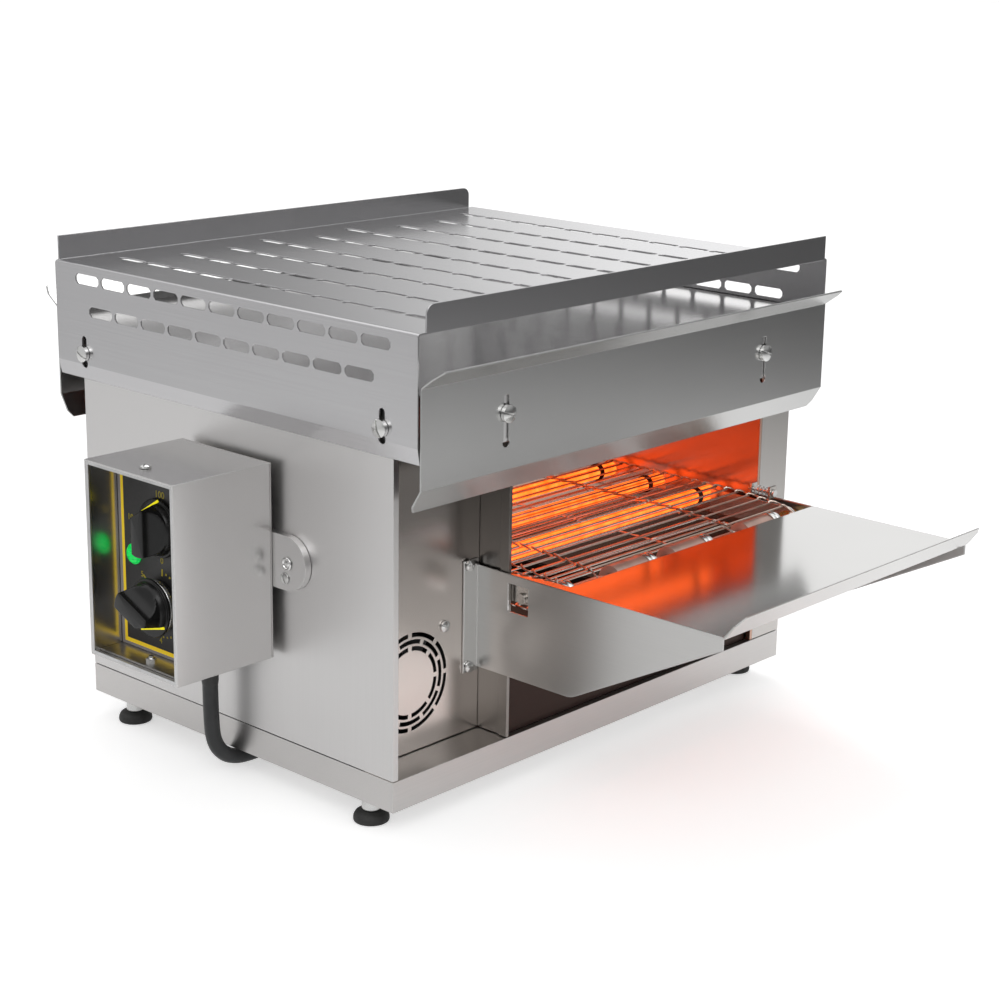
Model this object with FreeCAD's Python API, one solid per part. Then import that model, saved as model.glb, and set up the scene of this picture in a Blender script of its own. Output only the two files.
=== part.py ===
"""Counter-top conveyor toaster with a wire belt, quartz heaters and a side control box.

Machine frame while modelling: X runs along the front from the left side panel,
Y runs from the front to the back and Z up from the table. All shapes are moved at
the end so that the origin lies at the bottom centre of the whole machine's box.
"""
import FreeCAD, Part
import math
import os

V = FreeCAD.Vector
X_AXIS = V(1, 0, 0)
Y_AXIS = V(0, 1, 0)
Z_AXIS = V(0, 0, 1)

# Driving dimensions of the casing, in millimetres
case_depth = 336.0
case_height = 276.5
foot_height = 19.0
base_height = 22.5
sheet = 1.2
hem = 5.0
base_gap = 0.8

# Shared clearances and the overrun of cutting tools
fit_gap = 0.3
run_gap = 0.06
overrun = 4.0

# Plinth tray and its feet
base_sheet = 1.5
base_lip = 8.0
gusset_x = 26.0
gusset_y = 50.0
foot_inset_x = 12.0
foot_inset_y = 34.0
puck_radius = 13.0
puck_neck_radius = 11.0
puck_height = 8.5
puck_chamfer = 1.2
foot_nut_radius = 7.0
foot_nut_height = 8.5
foot_stud_radius = 4.0
foot_stud_rise = 12.0

# Toasting chamber between its two walls
chamber_left = 116.6
chamber_width = 294.2
right_bay_width = 39.2
panel_recess = 30.0
rim_depth = 8.0
rim_fold = 1.5

# Slotted top cover and its keyholed side aprons
cover_side_gap = 2.8
cover_overhang = 26.0
cover_rise = 41.3
cover_bend = 2.4
apron_drop = 75.9
apron_lip_drop = 11.4
apron_lip_inset = 2.2
flange_height = 18.0
flange_inset = 8.0
flange_far_inset = 3.0
flange_corner = 7.0
slot_end_in = 25.0
slot_width = 8.0
slot_bridge = 3.0
slot_chamfer = 2.4
slot_row_pattern = "LSSLSLSSL"
slot_row_pitch = 46.6
long_slot_count = 11
short_slot_count = 10
apron_upper_row_drop = 10.8
apron_lower_row_drop = 34.3
cover_screw_drop = 67.3
cover_screw_inset = 7.0
keyhole_width = 5.6
keyhole_below = 7.5
keyhole_above = 10.5
keyhole_round = 7.0

# Round-head screws
big_head_radius = 6.3
big_head_height = 4.6
big_shank_radius = 2.5
small_head_radius = 4.2
small_head_height = 2.6
small_shank_radius = 1.9
head_edge = 1.3
spacer_radius = 5.0

# Height-adjustable deflector, the same part at the front and at the back
deflector_gap = 2.0
deflector_overlap = 2.5
deflector_low_drop = 63.0
deflector_high_rise = 5.0
top_lip_out = 17.5
top_lip_up = 12.5
bottom_lip_in = 10.5
bottom_lip_down = 16.5
lip_corner = 6.0
deflector_screw_inset = 78.5
deflector_screw_drop = 23.5
deflector_slot_up = 12.6
deflector_slot_down = 20.2
skirt_drop = 44.0

# Belt of flat wires with hooked joints, and its two rollers
belt_left_gap = 5.2
belt_right_gap = 10.0
belt_wire = 1.6
belt_pitch = 11.0
belt_radius = 13.0
belt_top_z = 170.3
belt_ramp = 40.0
hook_gap = 0.45
hook_width = 9.0
hook_place_shares = (0.137, 0.708)
axle_z = 154.0
front_axle_out = 35.0
drive_axle_in = 23.0
axle_radius = 5.0
bobbin_centre_shares = (0.0295, 0.304, 0.545, 0.866)
bobbin_length_shares = (0.043, 0.161, 0.165, 0.152)
bobbin_collar_length = 9.0
bobbin_collar_rise = 0.9

# Arms, brass bushes and tension screws that carry the front roller
arm_sheet = 2.0
arm_back = 41.0
arm_low = 146.0
arm_high = 165.5
right_arm_offset = 7.3
arm_bolt_ys = (12.0, 34.0)
arm_bolt_radius = 4.0
bush_radius = 8.0
bush_length = 4.8
collar_nut_length = 5.7
axle_end_play = 0.8
lug_top = 178.0
lug_foot = 168.2
lug_depth = 2.0
lug_y = -18.0
tension_z = 172.6
tension_inset = 3.0
tension_screw_radius = 1.5
tension_head_radius = 3.0
tension_head_height = 2.0
spring_radius = 3.4
spring_wire = 1.1
spring_turn_count = 4
spring_side_count = 6

# Quartz heaters, five below and five above the toast
tube_radius = 6.0
tube_first_y = 48.0
tube_rear_in = 76.0
tube_row_count = 5
lower_tube_z = 160.0
upper_tube_drop = 68.0
tube_hole = 14.0
end_block = 17.0
end_block_depth = 14.0
reflector_drop = 54.0
reflector_sheet = 1.0
reflector_wing_drop = 13.0
reflector_wing_out = 9.0

# Toast tray in front
tray_side_gap = 2.0
tray_floor_z = 167.4
tray_reach = 191.5
tray_lip_out = 12.5
tray_lip_up = 15.5
tray_floor_start = 52.0
tray_cheek_low = 90.2
tray_cheek_corner = 20.0
tray_cheek_flat = 62.0
tray_cheek_front_z = 158.0
tray_strip = 7.4
tray_flange = 14.0
tray_flange_top = 172.5
tray_flange_low = 88.0
tray_screw_in = 8.0
tray_screw_high = 169.0
tray_screw_low = 92.0
tray_screw_middle = 150.0
tray_notch = 2.4
window_back = 1.2
window_length = 19.5
window_low = 139.5
window_high = 160.5

# Crumb tray on the plinth
crumb_sheet = 1.0
crumb_side_gap = 1.6
crumb_front_in = 5.0
crumb_back_in = 6.0
crumb_front_height = 43.0
crumb_wall_height = 14.0
crumb_pull = 6.0

# Fan behind its slotted panel
fan_x = 45.7
fan_z = 94.5
fan_size = 80.0
fan_depth = 25.0
fan_bore_radius = 37.5
fan_hole_half = 34.0
fan_ring_radii = (25.2, 30.2, 35.2)
fan_ring_slot = 3.1
fan_ring_part_count = 8
fan_ring_web = 3.6
impeller_radius = 36.0
impeller_hub_radius = 14.0
impeller_depth = 17.0
impeller_front_gap = 2.0
impeller_blade_count = 7
blade_sheet = 1.6
blade_tilt_deg = 35.0
fan_pin_radius = 2.0
fan_pin_length = 10.0
stator_radius = 15.0
stator_depth = 4.0
strut_width = 5.0

# Control box on the left side
box_back = 6.0
box_reach = 92.0
box_front_y = 115.5
box_depth_y = 96.5
box_bottom = 105.0
box_height = 143.0
fascia_x = 65.8
fascia_sheet = 0.8
carrier_flange = 20.0
upper_knob_z = 203.0
lower_knob_z = 147.0
skirt_radius = 21.5
skirt_rim_radius = 20.0
skirt_depth = 6.0
knob_gap = 0.8
grip_radius = 17.5
grip_depth = 13.5
grip_top_width = 12.8
grip_waist_width = 20.0
grip_waist_rise = 5.0
lower_grip_wall = 8.2
upper_grip_deg = 0.0
lower_grip_deg = -66.0
spindle_radius = 3.0
spindle_bore_depth = 10.0
switch_size = 36.0
switch_depth = 24.0
lamp_radius = 7.5
lamp_rise = 4.0
lamp_body_radius = 5.5
lamp_body_depth = 22.0
lamp_y_offset = 29.0
lamp_z = 178.0
bracket_half_height = 20.0
bracket_front_y = 81.0
bracket_thickness = 5.4
bracket_pivot_y = 99.8
bracket_pivot_z = 178.0
bracket_ring_radius = 5.0
bracket_ring_height = 1.4
bracket_ring_bore = 2.6
bracket_screw_drop = 11.0
bracket_screw_back = 2.4
box_screw_in = 15.5

# Cable between the box and the plinth
cable_radius = 5.8
cable_side_count = 12
box_gland_radius = 11.5
box_gland_edge = 2.5
base_gland_radius = 8.2
base_gland_length = 6.0
anchor_length = 18.0
anchor_half_width = 10.0
cable_route = (
    (-18.0, 172.0, 75.0),
    (-18.0, 172.0, 50.0),
    (-16.0, 172.0, 25.0),
    (-2.0, 171.5, 10.5),
    (22.0, 170.0, 8.6),
    (44.0, 167.0, 14.0),
    (62.0, 165.0, 26.0),
    (84.0, 165.0, 26.0),
)

# Gear motor, sprockets and chain in the left compartment
motor_rear_in = 90.4
motor_z = 96.0
chain_plane = 13.0
sprocket_sheet = 2.4
drive_tooth_count = 16
motor_tooth_count = 12
chain_step = 6.35
tooth_height = 2.0
sprocket_clear = 0.3
chain_thickness = 3.0
chain_width = 2.0
hub_radius = 8.0
hub_length = 8.0
motor_axle_radius = 4.0
gearbox_length = 34.0
gearbox_size = 56.0
motor_radius = 24.0
motor_length = 42.0
bracket_sheet = 2.0
motor_foot = 24.0

# Terminal block on the plinth
terminal_length = 60.0
terminal_width = 22.0
terminal_height = 20.0
terminal_y = 91.0
terminal_x = 30.0

# Vents of the rear panel
rear_vent_row_count = 6
rear_vent_pitch = 14.0
rear_vent_width = 5.0
rear_vent_length = 60.0
rear_vent_low = 80.0

# Places worked out from the sizes
case_width = chamber_left + chamber_width + right_bay_width
base_bottom = foot_height
base_top = base_bottom + base_height
case_bottom = base_top + base_gap
case_top = base_top + case_height
plate_low = case_top - sheet
panel_top = plate_low - fit_gap
skirt_bottom = case_top - skirt_drop
deflector_low = case_top - deflector_low_drop
deflector_high = case_top + deflector_high_rise
deflector_screw_z = case_top - deflector_screw_drop
upper_tube_z = case_top - upper_tube_drop
reflector_z = case_top - reflector_drop
chamber_right = chamber_left + chamber_width
wall_left_out = chamber_left - sheet
wall_right_out = chamber_right + sheet
cover_left = -(cover_side_gap + sheet)
cover_right = case_width + cover_side_gap + sheet
cover_front = -cover_overhang
cover_back = case_depth + cover_overhang
slot_pitch = (cover_back - cover_front - 2 * slot_end_in + slot_bridge) / long_slot_count
slot_length = slot_pitch - slot_bridge
cover_top = case_top + cover_rise
cover_under = cover_top - sheet
apron_low = cover_top - apron_drop
middle_x = case_width / 2
middle_y = case_depth / 2
deflector_face = -(cover_overhang + deflector_gap)
deflector_rear = deflector_face + sheet
belt_left = chamber_left + belt_left_gap
belt_width = chamber_width - belt_left_gap - belt_right_gap
front_axle_y = -front_axle_out
drive_axle_y = case_depth - drive_axle_in
motor_y = case_depth - motor_rear_in
bobbin_radius = belt_radius - belt_wire / 2 - fit_gap
left_arm_x = chamber_left + fit_gap
right_arm_x = chamber_right - right_arm_offset
tray_left = wall_left_out - rim_fold - fit_gap - sheet - fit_gap
tray_right = wall_right_out + tray_side_gap + sheet
fan_panel_y = panel_recess
fan_panel_back = fan_panel_y + sheet
tube_pitch = (case_depth - tube_rear_in - tube_first_y) / (tube_row_count - 1)
tube_ys = tuple(tube_first_y + tube_pitch * k for k in range(tube_row_count))
box_left = -box_reach
box_right = -box_back
box_back_y = box_front_y + box_depth_y
box_top = box_bottom + box_height
box_middle_y = box_front_y + box_depth_y / 2
fascia_face = -fascia_x
fascia_back = fascia_face + fascia_sheet
carrier_face = fascia_back
carrier_back = carrier_face + sheet
knob_base = fascia_face - knob_gap
chain_x = wall_left_out - chain_plane
drive_pitch_radius = chain_step * drive_tooth_count / (2 * math.pi)
motor_pitch_radius = chain_step * motor_tooth_count / (2 * math.pi)
crumb_floor = base_top + fit_gap


def box(x0, y0, z0, x1, y1, z1):
    """Upright block between two corners."""
    low = V(min(x0, x1), min(y0, y1), min(z0, z1))
    return Part.makeBox(abs(x1 - x0), abs(y1 - y0), abs(z1 - z0), low)


def rod(radius, start, along, length):
    """Round bar from a start point."""
    return Part.makeCylinder(radius, length, start, along)


def tube(outer, inner, start, along, length):
    """Round bar with a bore right through."""
    bore = rod(inner, start - along * overrun, along, length + 2 * overrun)
    return rod(outer, start, along, length).cut(bore)


def prism(points, along):
    """Closed polygon of points carried along a vector."""
    wire = Part.makePolygon(list(points) + [points[0]])
    return Part.Face(wire).extrude(along)


def round_body(points, start, along):
    """Half profile of (radius, height) points turned about an axis through start."""
    side = Y_AXIS if abs(along.x) > abs(along.y) + abs(along.z) else X_AXIS
    corners = [start + side * r + along * h for r, h in points]
    face = Part.Face(Part.makePolygon(corners + [corners[0]]))
    return face.revolve(start, along, 360)


def fuse(shapes):
    """One solid from touching pieces, with merged faces."""
    first = shapes[0]
    if len(shapes) == 1:
        return first
    return first.multiFuse(shapes[1:]).removeSplitter()


def cut(shape, tools):
    """A shape with a list of tools taken away in one go."""
    return shape.cut(Part.makeCompound(tools))


def mirror_y(shape):
    """The same piece at the back of the machine."""
    return shape.mirror(V(0, middle_y, 0), Y_AXIS)


def turned(shape):
    """The same piece half a turn round the machine's upright middle line."""
    copy = shape.copy()
    copy.rotate(V(middle_x, middle_y, 0), Z_AXIS, 180)
    return copy


def slot_tool(centre, along, across, through, length=slot_length, width=slot_width):
    """Long slot with chamfered ends, cut along one direction through a sheet."""
    a = length / 2
    b = width / 2
    c = slot_chamfer
    shape = ((a, b - c), (a - c, b), (c - a, b), (-a, b - c), (-a, c - b), (c - a, -b), (a - c, -b), (a, c - b))
    start = centre - through * (sheet + overrun)
    points = [start + along * u + across * v for u, v in shape]
    return prism(points, through * (2 * (sheet + overrun)))


def big_screw(place, out, shank_length):
    """Pan-head screw whose head stands on place and points out; the shank runs inwards."""
    head = round_body(((0, 0), (big_head_radius, 0), (big_head_radius, big_head_height - head_edge),
                 (big_head_radius - head_edge, big_head_height), (0, big_head_height)), place, out)
    return fuse([head, rod(big_shank_radius, place, -out, shank_length)])


def small_screw(place, out, shank_length):
    """Small flat-head screw, placed the same way."""
    return fuse([rod(small_head_radius, place, out, small_head_height),
                 rod(small_shank_radius, place, -out, shank_length)])


# Plinth and feet

def base_tray():
    """Folded tray, open below, with narrow lips and a corner plate over each foot."""
    body = box(0, 0, base_bottom, case_width, case_depth, base_top)
    hollow = box(base_sheet, base_sheet, base_bottom + base_sheet,
                 case_width - base_sheet, case_depth - base_sheet, base_top - base_sheet)
    mouth = box(base_lip, base_lip, base_bottom - overrun,
                case_width - base_lip, case_depth - base_lip, base_bottom + base_sheet + overrun)
    shell = cut(body, [hollow, mouth])
    gussets = []
    holes = []
    for x, y in foot_places():
        near_x, step_x = (0, gusset_x) if x < middle_x else (case_width, -gusset_x)
        near_y, step_y = (0, gusset_y) if y < middle_y else (case_depth, -gusset_y)
        gussets.append(box(near_x, near_y, base_bottom, near_x + step_x, near_y + step_y, base_bottom + base_sheet))
        holes.append(rod(foot_stud_radius + run_gap, V(x, y, base_bottom - overrun), Z_AXIS, base_sheet + 2 * overrun))
    tray = fuse([shell] + gussets)
    return cut(tray, holes)


def foot_places():
    """Middles of the four feet."""
    xs = (foot_inset_x, case_width - foot_inset_x)
    ys = (foot_inset_y, case_depth - foot_inset_y)
    return [(x, y) for x in xs for y in ys]


def feet_pucks():
    """Rubber pucks that stand on the table."""
    profile = ((0, 0), (puck_radius - puck_chamfer, 0), (puck_radius, puck_chamfer),
               (puck_neck_radius, puck_height), (0, puck_height))
    return [round_body(profile, V(x, y, 0), Z_AXIS) for x, y in foot_places()]


def feet_studs():
    """Plated studs with a round nut between the puck and the plinth."""
    made = []
    for x, y in foot_places():
        nut = rod(foot_nut_radius, V(x, y, puck_height), Z_AXIS, foot_nut_height)
        washer_low = puck_height + foot_nut_height
        washer = rod(foot_nut_radius + head_edge, V(x, y, washer_low), Z_AXIS, foot_height - fit_gap - washer_low)
        stud = rod(foot_stud_radius, V(x, y, puck_height), Z_AXIS, foot_stud_rise + base_sheet)
        made.append(fuse([nut, washer, stud]))
    return made


# Casing panels

def side_panel_profile(x0, inward, front_return):
    """Outline of a side panel seen from above, with folded edges front and back."""
    x1 = x0 + inward * sheet
    xr = x0 + inward * front_return
    y1 = case_depth
    return [V(x0, 0, case_bottom), V(xr, 0, case_bottom), V(xr, sheet, case_bottom), V(x1, sheet, case_bottom),
            V(x1, y1 - sheet, case_bottom), V(xr, y1 - sheet, case_bottom), V(xr, y1, case_bottom),
            V(x0, y1, case_bottom)]


def cover_screw_places():
    """Places of the cover's screws along Y, at one height."""
    return [(y, cover_top - cover_screw_drop) for y in (cover_screw_inset, case_depth - cover_screw_inset)]


def left_casing():
    """Left side panel with holes for the cover's screws and the box bracket."""
    panel = prism(side_panel_profile(0, 1, hem), Z_AXIS * (panel_top - case_bottom))
    holes = [rod(big_shank_radius + run_gap, V(-overrun, y, z), X_AXIS, hem + 2 * overrun)
             for y, z in cover_screw_places()]
    holes.append(rod(bracket_ring_bore, V(-overrun, bracket_pivot_y, bracket_pivot_z), X_AXIS, hem + 2 * overrun))
    return cut(panel, holes)


def right_casing():
    """Right side panel, folded round to close the right compartment at both ends."""
    front_return = case_width - wall_right_out - rim_fold - fit_gap
    panel = prism(side_panel_profile(case_width, -1, front_return), Z_AXIS * (panel_top - case_bottom))
    holes = [rod(big_shank_radius + run_gap, V(case_width + overrun, y, z), -X_AXIS, hem + 2 * overrun)
             for y, z in cover_screw_places()]
    holes += [rod(small_shank_radius + run_gap, V(tray_right + tray_screw_in, -overrun, z), Y_AXIS,
                  sheet + 2 * overrun) for z in (tray_screw_middle, tray_screw_low)]
    return cut(panel, holes)


def case_top_plate():
    """Bright plate on top of the casing, with a skirt in front and behind."""
    x0 = 0
    x1 = case_width
    y0 = deflector_rear + fit_gap
    y1 = case_depth - y0
    plate = box(x0, y0, plate_low, x1, y1, case_top)
    skirts = [box(x0, y0, skirt_bottom, x1, y0 + sheet, case_top),
              box(x0, y1 - sheet, skirt_bottom, x1, y1, case_top)]
    holes = []
    for x in deflector_screw_xs():
        for y in (y0, y1):
            holes.append(rod(big_shank_radius + run_gap, V(x, y - overrun, deflector_screw_z), Y_AXIS, 2 * overrun))
    return cut(fuse([plate] + skirts), holes)


def fan_panel():
    """Recessed panel left of the chamber, with three rings of air slots."""
    x0 = sheet + fit_gap
    x1 = wall_left_out - fit_gap
    panel = box(x0, fan_panel_y, case_bottom, x1, fan_panel_back, panel_top)
    tools = []
    part = 360 / fan_ring_part_count
    for number, radius in enumerate(fan_ring_radii):
        web = math.degrees(fan_ring_web / radius)
        for k in range(fan_ring_part_count):
            first = k * part + web / 2 + number * part / 2
            tools.append(ring_slot(radius, first, part - web))
    for x, z in fan_screw_places():
        tools.append(rod(small_shank_radius + run_gap, V(x, fan_panel_y - overrun, z), Y_AXIS, sheet + 2 * overrun))
    for z in (tray_screw_high, tray_screw_low):
        tools.append(rod(small_shank_radius + run_gap, V(tray_left - tray_screw_in, fan_panel_y - overrun, z),
                         Y_AXIS, sheet + 2 * overrun))
    return cut(panel, tools)


def ring_slot(radius, first_deg, span_deg):
    """Arc-shaped slot round the fan's middle."""
    start = V(fan_x, fan_panel_y - overrun, fan_z)
    depth = sheet + 2 * overrun
    outer = Part.makeCylinder(radius + fan_ring_slot / 2, depth, start, Y_AXIS, span_deg)
    inner = Part.makeCylinder(radius - fan_ring_slot / 2, depth, start, Y_AXIS, 360)
    piece = outer.cut(inner)
    piece.rotate(start, Y_AXIS, first_deg)
    return piece


def rear_panel():
    """Rear panel of the left compartment with vent slots."""
    x0 = hem + fit_gap
    x1 = wall_left_out - fit_gap
    panel = box(x0, case_depth - sheet, case_bottom, x1, case_depth, panel_top)
    centre_x = (x0 + x1) / 2
    tools = [slot_tool(V(centre_x, case_depth, rear_vent_low + k * rear_vent_pitch), X_AXIS, Z_AXIS, Y_AXIS,
                       rear_vent_length, rear_vent_width + slot_chamfer) for k in range(rear_vent_row_count)]
    return cut(panel, tools)


def chamber_wall(inner_x, out):
    """Chamber wall with a folded rim, square heater holes and the drive bush's hole."""
    outer_x = inner_x + out * sheet
    rim_x = outer_x + out * rim_fold
    outline = ((inner_x, 0), (rim_x, 0), (rim_x, rim_depth), (outer_x, rim_depth),
               (outer_x, case_depth), (inner_x, case_depth))
    wall = prism([V(x, y, case_bottom) for x, y in outline], Z_AXIS * (panel_top - case_bottom))
    half = tube_hole / 2
    tools = []
    for y in tube_ys:
        for z in (lower_tube_z, upper_tube_z):
            tools.append(box(inner_x - overrun, y - half, z - half, inner_x + overrun, y + half, z + half))
    tools.append(rod(bush_radius + run_gap, V(inner_x - overrun, drive_axle_y, axle_z), X_AXIS, 2 * overrun))
    return cut(wall, tools)


def chamber_left_wall():
    """Left wall of the toasting chamber."""
    return chamber_wall(chamber_left, -1)


def tension_lug(x0, x1, y, foot_z):
    """Upright tab with a hole for the tension screw."""
    tab = box(x0, y, foot_z, x1, y + lug_depth, lug_top)
    hole = rod(tension_screw_radius + run_gap, V(tension_x(), y - overrun, tension_z), Y_AXIS, 2 * overrun + lug_depth)
    return tab.cut(hole)


def tension_x():
    """Place of the tension screw along X."""
    return chamber_right - tension_inset


def chamber_right_wall():
    """Right wall of the toasting chamber."""
    return chamber_wall(chamber_right, 1)


def tension_tab():
    """Fixed tab of the belt tensioner on the right chamber wall."""
    return tension_lug(right_arm_x, chamber_right, 0, lug_foot)


def reflector():
    """Bright sheet over the upper heaters with two slanted wings."""
    x0 = chamber_left + fit_gap
    x1 = chamber_right - fit_gap
    y0 = tube_ys[0] - tube_pitch / 2
    y1 = tube_ys[-1] + tube_pitch / 2
    t = reflector_sheet
    outline = ((y0, reflector_z), (y1, reflector_z), (y1 + reflector_wing_out, reflector_z - reflector_wing_drop),
               (y1 + reflector_wing_out + t, reflector_z - reflector_wing_drop), (y1 + t, reflector_z + t),
               (y0 - t, reflector_z + t), (y0 - reflector_wing_out - t, reflector_z - reflector_wing_drop),
               (y0 - reflector_wing_out, reflector_z - reflector_wing_drop))
    return prism([V(x0, y, z) for y, z in outline], X_AXIS * (x1 - x0))


# Top cover

def cover_profile():
    """Section of the cover across the machine, from lip to lip."""
    drop = V(0, 0, apron_lip_drop)
    a = V(cover_left, cover_front, apron_low)
    lip = a - drop + V(apron_lip_inset, 0, 0)
    t = V(sheet, 0, 0)
    b = V(cover_right, cover_front, apron_low)
    far_lip = b - drop - V(apron_lip_inset, 0, 0)
    r = cover_bend
    k = r * (1 - math.sqrt(0.5))
    top = cover_top
    under = cover_under
    inner = r - sheet
    j = inner * (1 - math.sqrt(0.5))
    y = cover_front
    left_in = cover_left + sheet
    right_in = cover_right - sheet
    edges = [
        Part.LineSegment(lip, a),
        Part.LineSegment(a, V(cover_left, y, top - r)),
        Part.Arc(V(cover_left, y, top - r), V(cover_left + k, y, top - k), V(cover_left + r, y, top)),
        Part.LineSegment(V(cover_left + r, y, top), V(cover_right - r, y, top)),
        Part.Arc(V(cover_right - r, y, top), V(cover_right - k, y, top - k), V(cover_right, y, top - r)),
        Part.LineSegment(V(cover_right, y, top - r), b),
        Part.LineSegment(b, far_lip),
        Part.LineSegment(far_lip, far_lip - t),
        Part.LineSegment(far_lip - t, b - t),
        Part.LineSegment(b - t, V(right_in, y, under - inner)),
        Part.Arc(V(right_in, y, under - inner), V(right_in - j, y, under - j), V(right_in - inner, y, under)),
        Part.LineSegment(V(right_in - inner, y, under), V(left_in + inner, y, under)),
        Part.Arc(V(left_in + inner, y, under), V(left_in + j, y, under - j), V(left_in, y, under - inner)),
        Part.LineSegment(V(left_in, y, under - inner), a + t),
        Part.LineSegment(a + t, lip + t),
        Part.LineSegment(lip + t, lip),
    ]
    return Part.Face(Part.Wire([e.toShape() for e in edges]))


def cover_flange():
    """Upturned flange at the front, rounded at its left end."""
    x0 = cover_left + flange_inset
    x1 = cover_right - flange_far_inset
    z0 = cover_under
    z1 = cover_top + flange_height
    r = flange_corner
    k = r * (1 - math.sqrt(0.5))
    y = cover_front
    edges = [
        Part.LineSegment(V(x0, y, z0), V(x0, y, z1 - r)),
        Part.Arc(V(x0, y, z1 - r), V(x0 + k, y, z1 - k), V(x0 + r, y, z1)),
        Part.LineSegment(V(x0 + r, y, z1), V(x1, y, z1)),
        Part.LineSegment(V(x1, y, z1), V(x1, y, z0)),
        Part.LineSegment(V(x1, y, z0), V(x0, y, z0)),
    ]
    face = Part.Face(Part.Wire([e.toShape() for e in edges]))
    return face.extrude(Y_AXIS * sheet)


def slot_row(count, centre_of, along, across, through):
    """Slots of one row, spread evenly about the machine's middle."""
    first = middle_y - (count - 1) * slot_pitch / 2
    return [slot_tool(centre_of(first + k * slot_pitch), along, across, through) for k in range(count)]


def keyhole_tools(x, out):
    """Upright slots of the cover's four screws with a round lower end."""
    made = []
    for y, z in cover_screw_places():
        start = V(x - out * overrun, y, z)
        half = keyhole_width / 2
        made.append(box(x - overrun, y - half, z - keyhole_below, x + overrun, y + half, z + keyhole_above))
        made.append(rod(half, V(start.x, y, z + keyhole_above), X_AXIS * out, 2 * overrun))
        made.append(rod(keyhole_round / 2, V(start.x, y, z - keyhole_below), X_AXIS * out, 2 * overrun))
    return made


def top_cover():
    """Slotted warming top with flanges and slotted aprons, folded from one sheet."""
    body = cover_profile().extrude(Y_AXIS * (cover_back - cover_front))
    flange = cover_flange()
    body = fuse([body, flange, turned(flange)])
    tools = []
    first_x = middle_x - (len(slot_row_pattern) - 1) * slot_row_pitch / 2
    for row, kind in enumerate(slot_row_pattern):
        x = first_x + row * slot_row_pitch
        count = long_slot_count if kind == "L" else short_slot_count
        tools += slot_row(count, lambda y, x=x: V(x, y, cover_top), Y_AXIS, X_AXIS, Z_AXIS)
    for x, out in ((cover_left, -1), (cover_right, 1)):
        upper = cover_top - apron_upper_row_drop
        lower = cover_top - apron_lower_row_drop
        tools += slot_row(long_slot_count, lambda y, x=x: V(x, y, upper), Y_AXIS, Z_AXIS, X_AXIS)
        tools += slot_row(short_slot_count, lambda y, x=x: V(x, y, lower), Y_AXIS, Z_AXIS, X_AXIS)
        tools += keyhole_tools(x, out)
    return cut(body, tools)


def cover_screws():
    """Four round-head screws through the aprons, each with its spacer."""
    made = []
    for x, out in ((cover_left, -1), (cover_right, 1)):
        side = 0 if out < 0 else case_width
        for y, z in cover_screw_places():
            place = V(x + out * fit_gap, y, z)
            body = big_screw(place, X_AXIS * out, cover_side_gap + 2 * sheet + overrun)
            spacer = rod(spacer_radius, V(side + out * fit_gap, y, z), X_AXIS * out, cover_side_gap - 2 * fit_gap)
            made.append(fuse([body, spacer]))
    return made


# Deflectors

def deflector_screw_xs():
    """Places of the deflector's two screws along X."""
    return (deflector_screw_inset, case_width - deflector_screw_inset)


def front_deflector():
    """Folded panel with two lips, hung on two screws in keyhole slots."""
    t = sheet
    f = deflector_face
    outline = ((f, deflector_low), (f, deflector_high), (f - top_lip_out, deflector_high + top_lip_up),
               (f - top_lip_out + t / 2, deflector_high + top_lip_up + t), (f + t, deflector_high + t / 2),
               (f + t, deflector_low), (f + bottom_lip_in + t, deflector_low - bottom_lip_down),
               (f + bottom_lip_in, deflector_low - bottom_lip_down - t / 2))
    x0 = -deflector_overlap
    x1 = case_width + deflector_overlap
    body = prism([V(x0, y, z) for y, z in outline], X_AXIS * (x1 - x0))
    tools = []
    for x in deflector_screw_xs():
        half = keyhole_width / 2
        low = deflector_screw_z - deflector_slot_down
        high = deflector_screw_z + deflector_slot_up
        tools.append(box(x - half, f - overrun, low, x + half, f + overrun, high))
        tools.append(rod(keyhole_round / 2, V(x, f - overrun, low), Y_AXIS, 2 * overrun))
    c = lip_corner
    high = deflector_high + top_lip_up + overrun
    low = deflector_low - bottom_lip_down - overrun
    for edge, inward in ((x0, 1), (x1, -1)):
        for z, down in ((high, -1), (low, 1)):
            y = f - overrun - top_lip_out
            corner = [V(edge - inward * overrun, y, z), V(edge + inward * c, y, z),
                      V(edge - inward * overrun, y, z + down * (c + 2 * overrun))]
            tools.append(prism(corner, Y_AXIS * (top_lip_out + bottom_lip_in + 3 * overrun)))
    return cut(body, tools)


def deflector_screws():
    """Four screws that hold the deflectors on the skirts."""
    made = []
    for x in deflector_screw_xs():
        place = V(x, deflector_face - fit_gap, deflector_screw_z)
        one = big_screw(place, -Y_AXIS, 4 * sheet + overrun)
        made += [one, mirror_y(one)]
    return made


# Belt, rollers and their carriers

def belt_path():
    """Corner points and arcs of the belt's middle line, as (kind, length, data) legs."""
    nose_top = axle_z + belt_radius
    y0 = front_axle_y
    y1 = drive_axle_y
    points = ((y0, nose_top), (y0 + belt_ramp, belt_top_z), (y1 - belt_ramp, belt_top_z), (y1, nose_top))
    legs = []
    for (ya, za), (yb, zb) in zip(points, points[1:]):
        legs.append(("line", math.hypot(yb - ya, zb - za), (ya, za, yb, zb)))
    legs.append(("arc", math.pi * belt_radius, (y1, math.pi / 2)))
    legs.append(("line", y1 - y0, (y1, axle_z - belt_radius, y0, axle_z - belt_radius)))
    legs.append(("arc", math.pi * belt_radius, (y0, -math.pi / 2)))
    return legs


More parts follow.
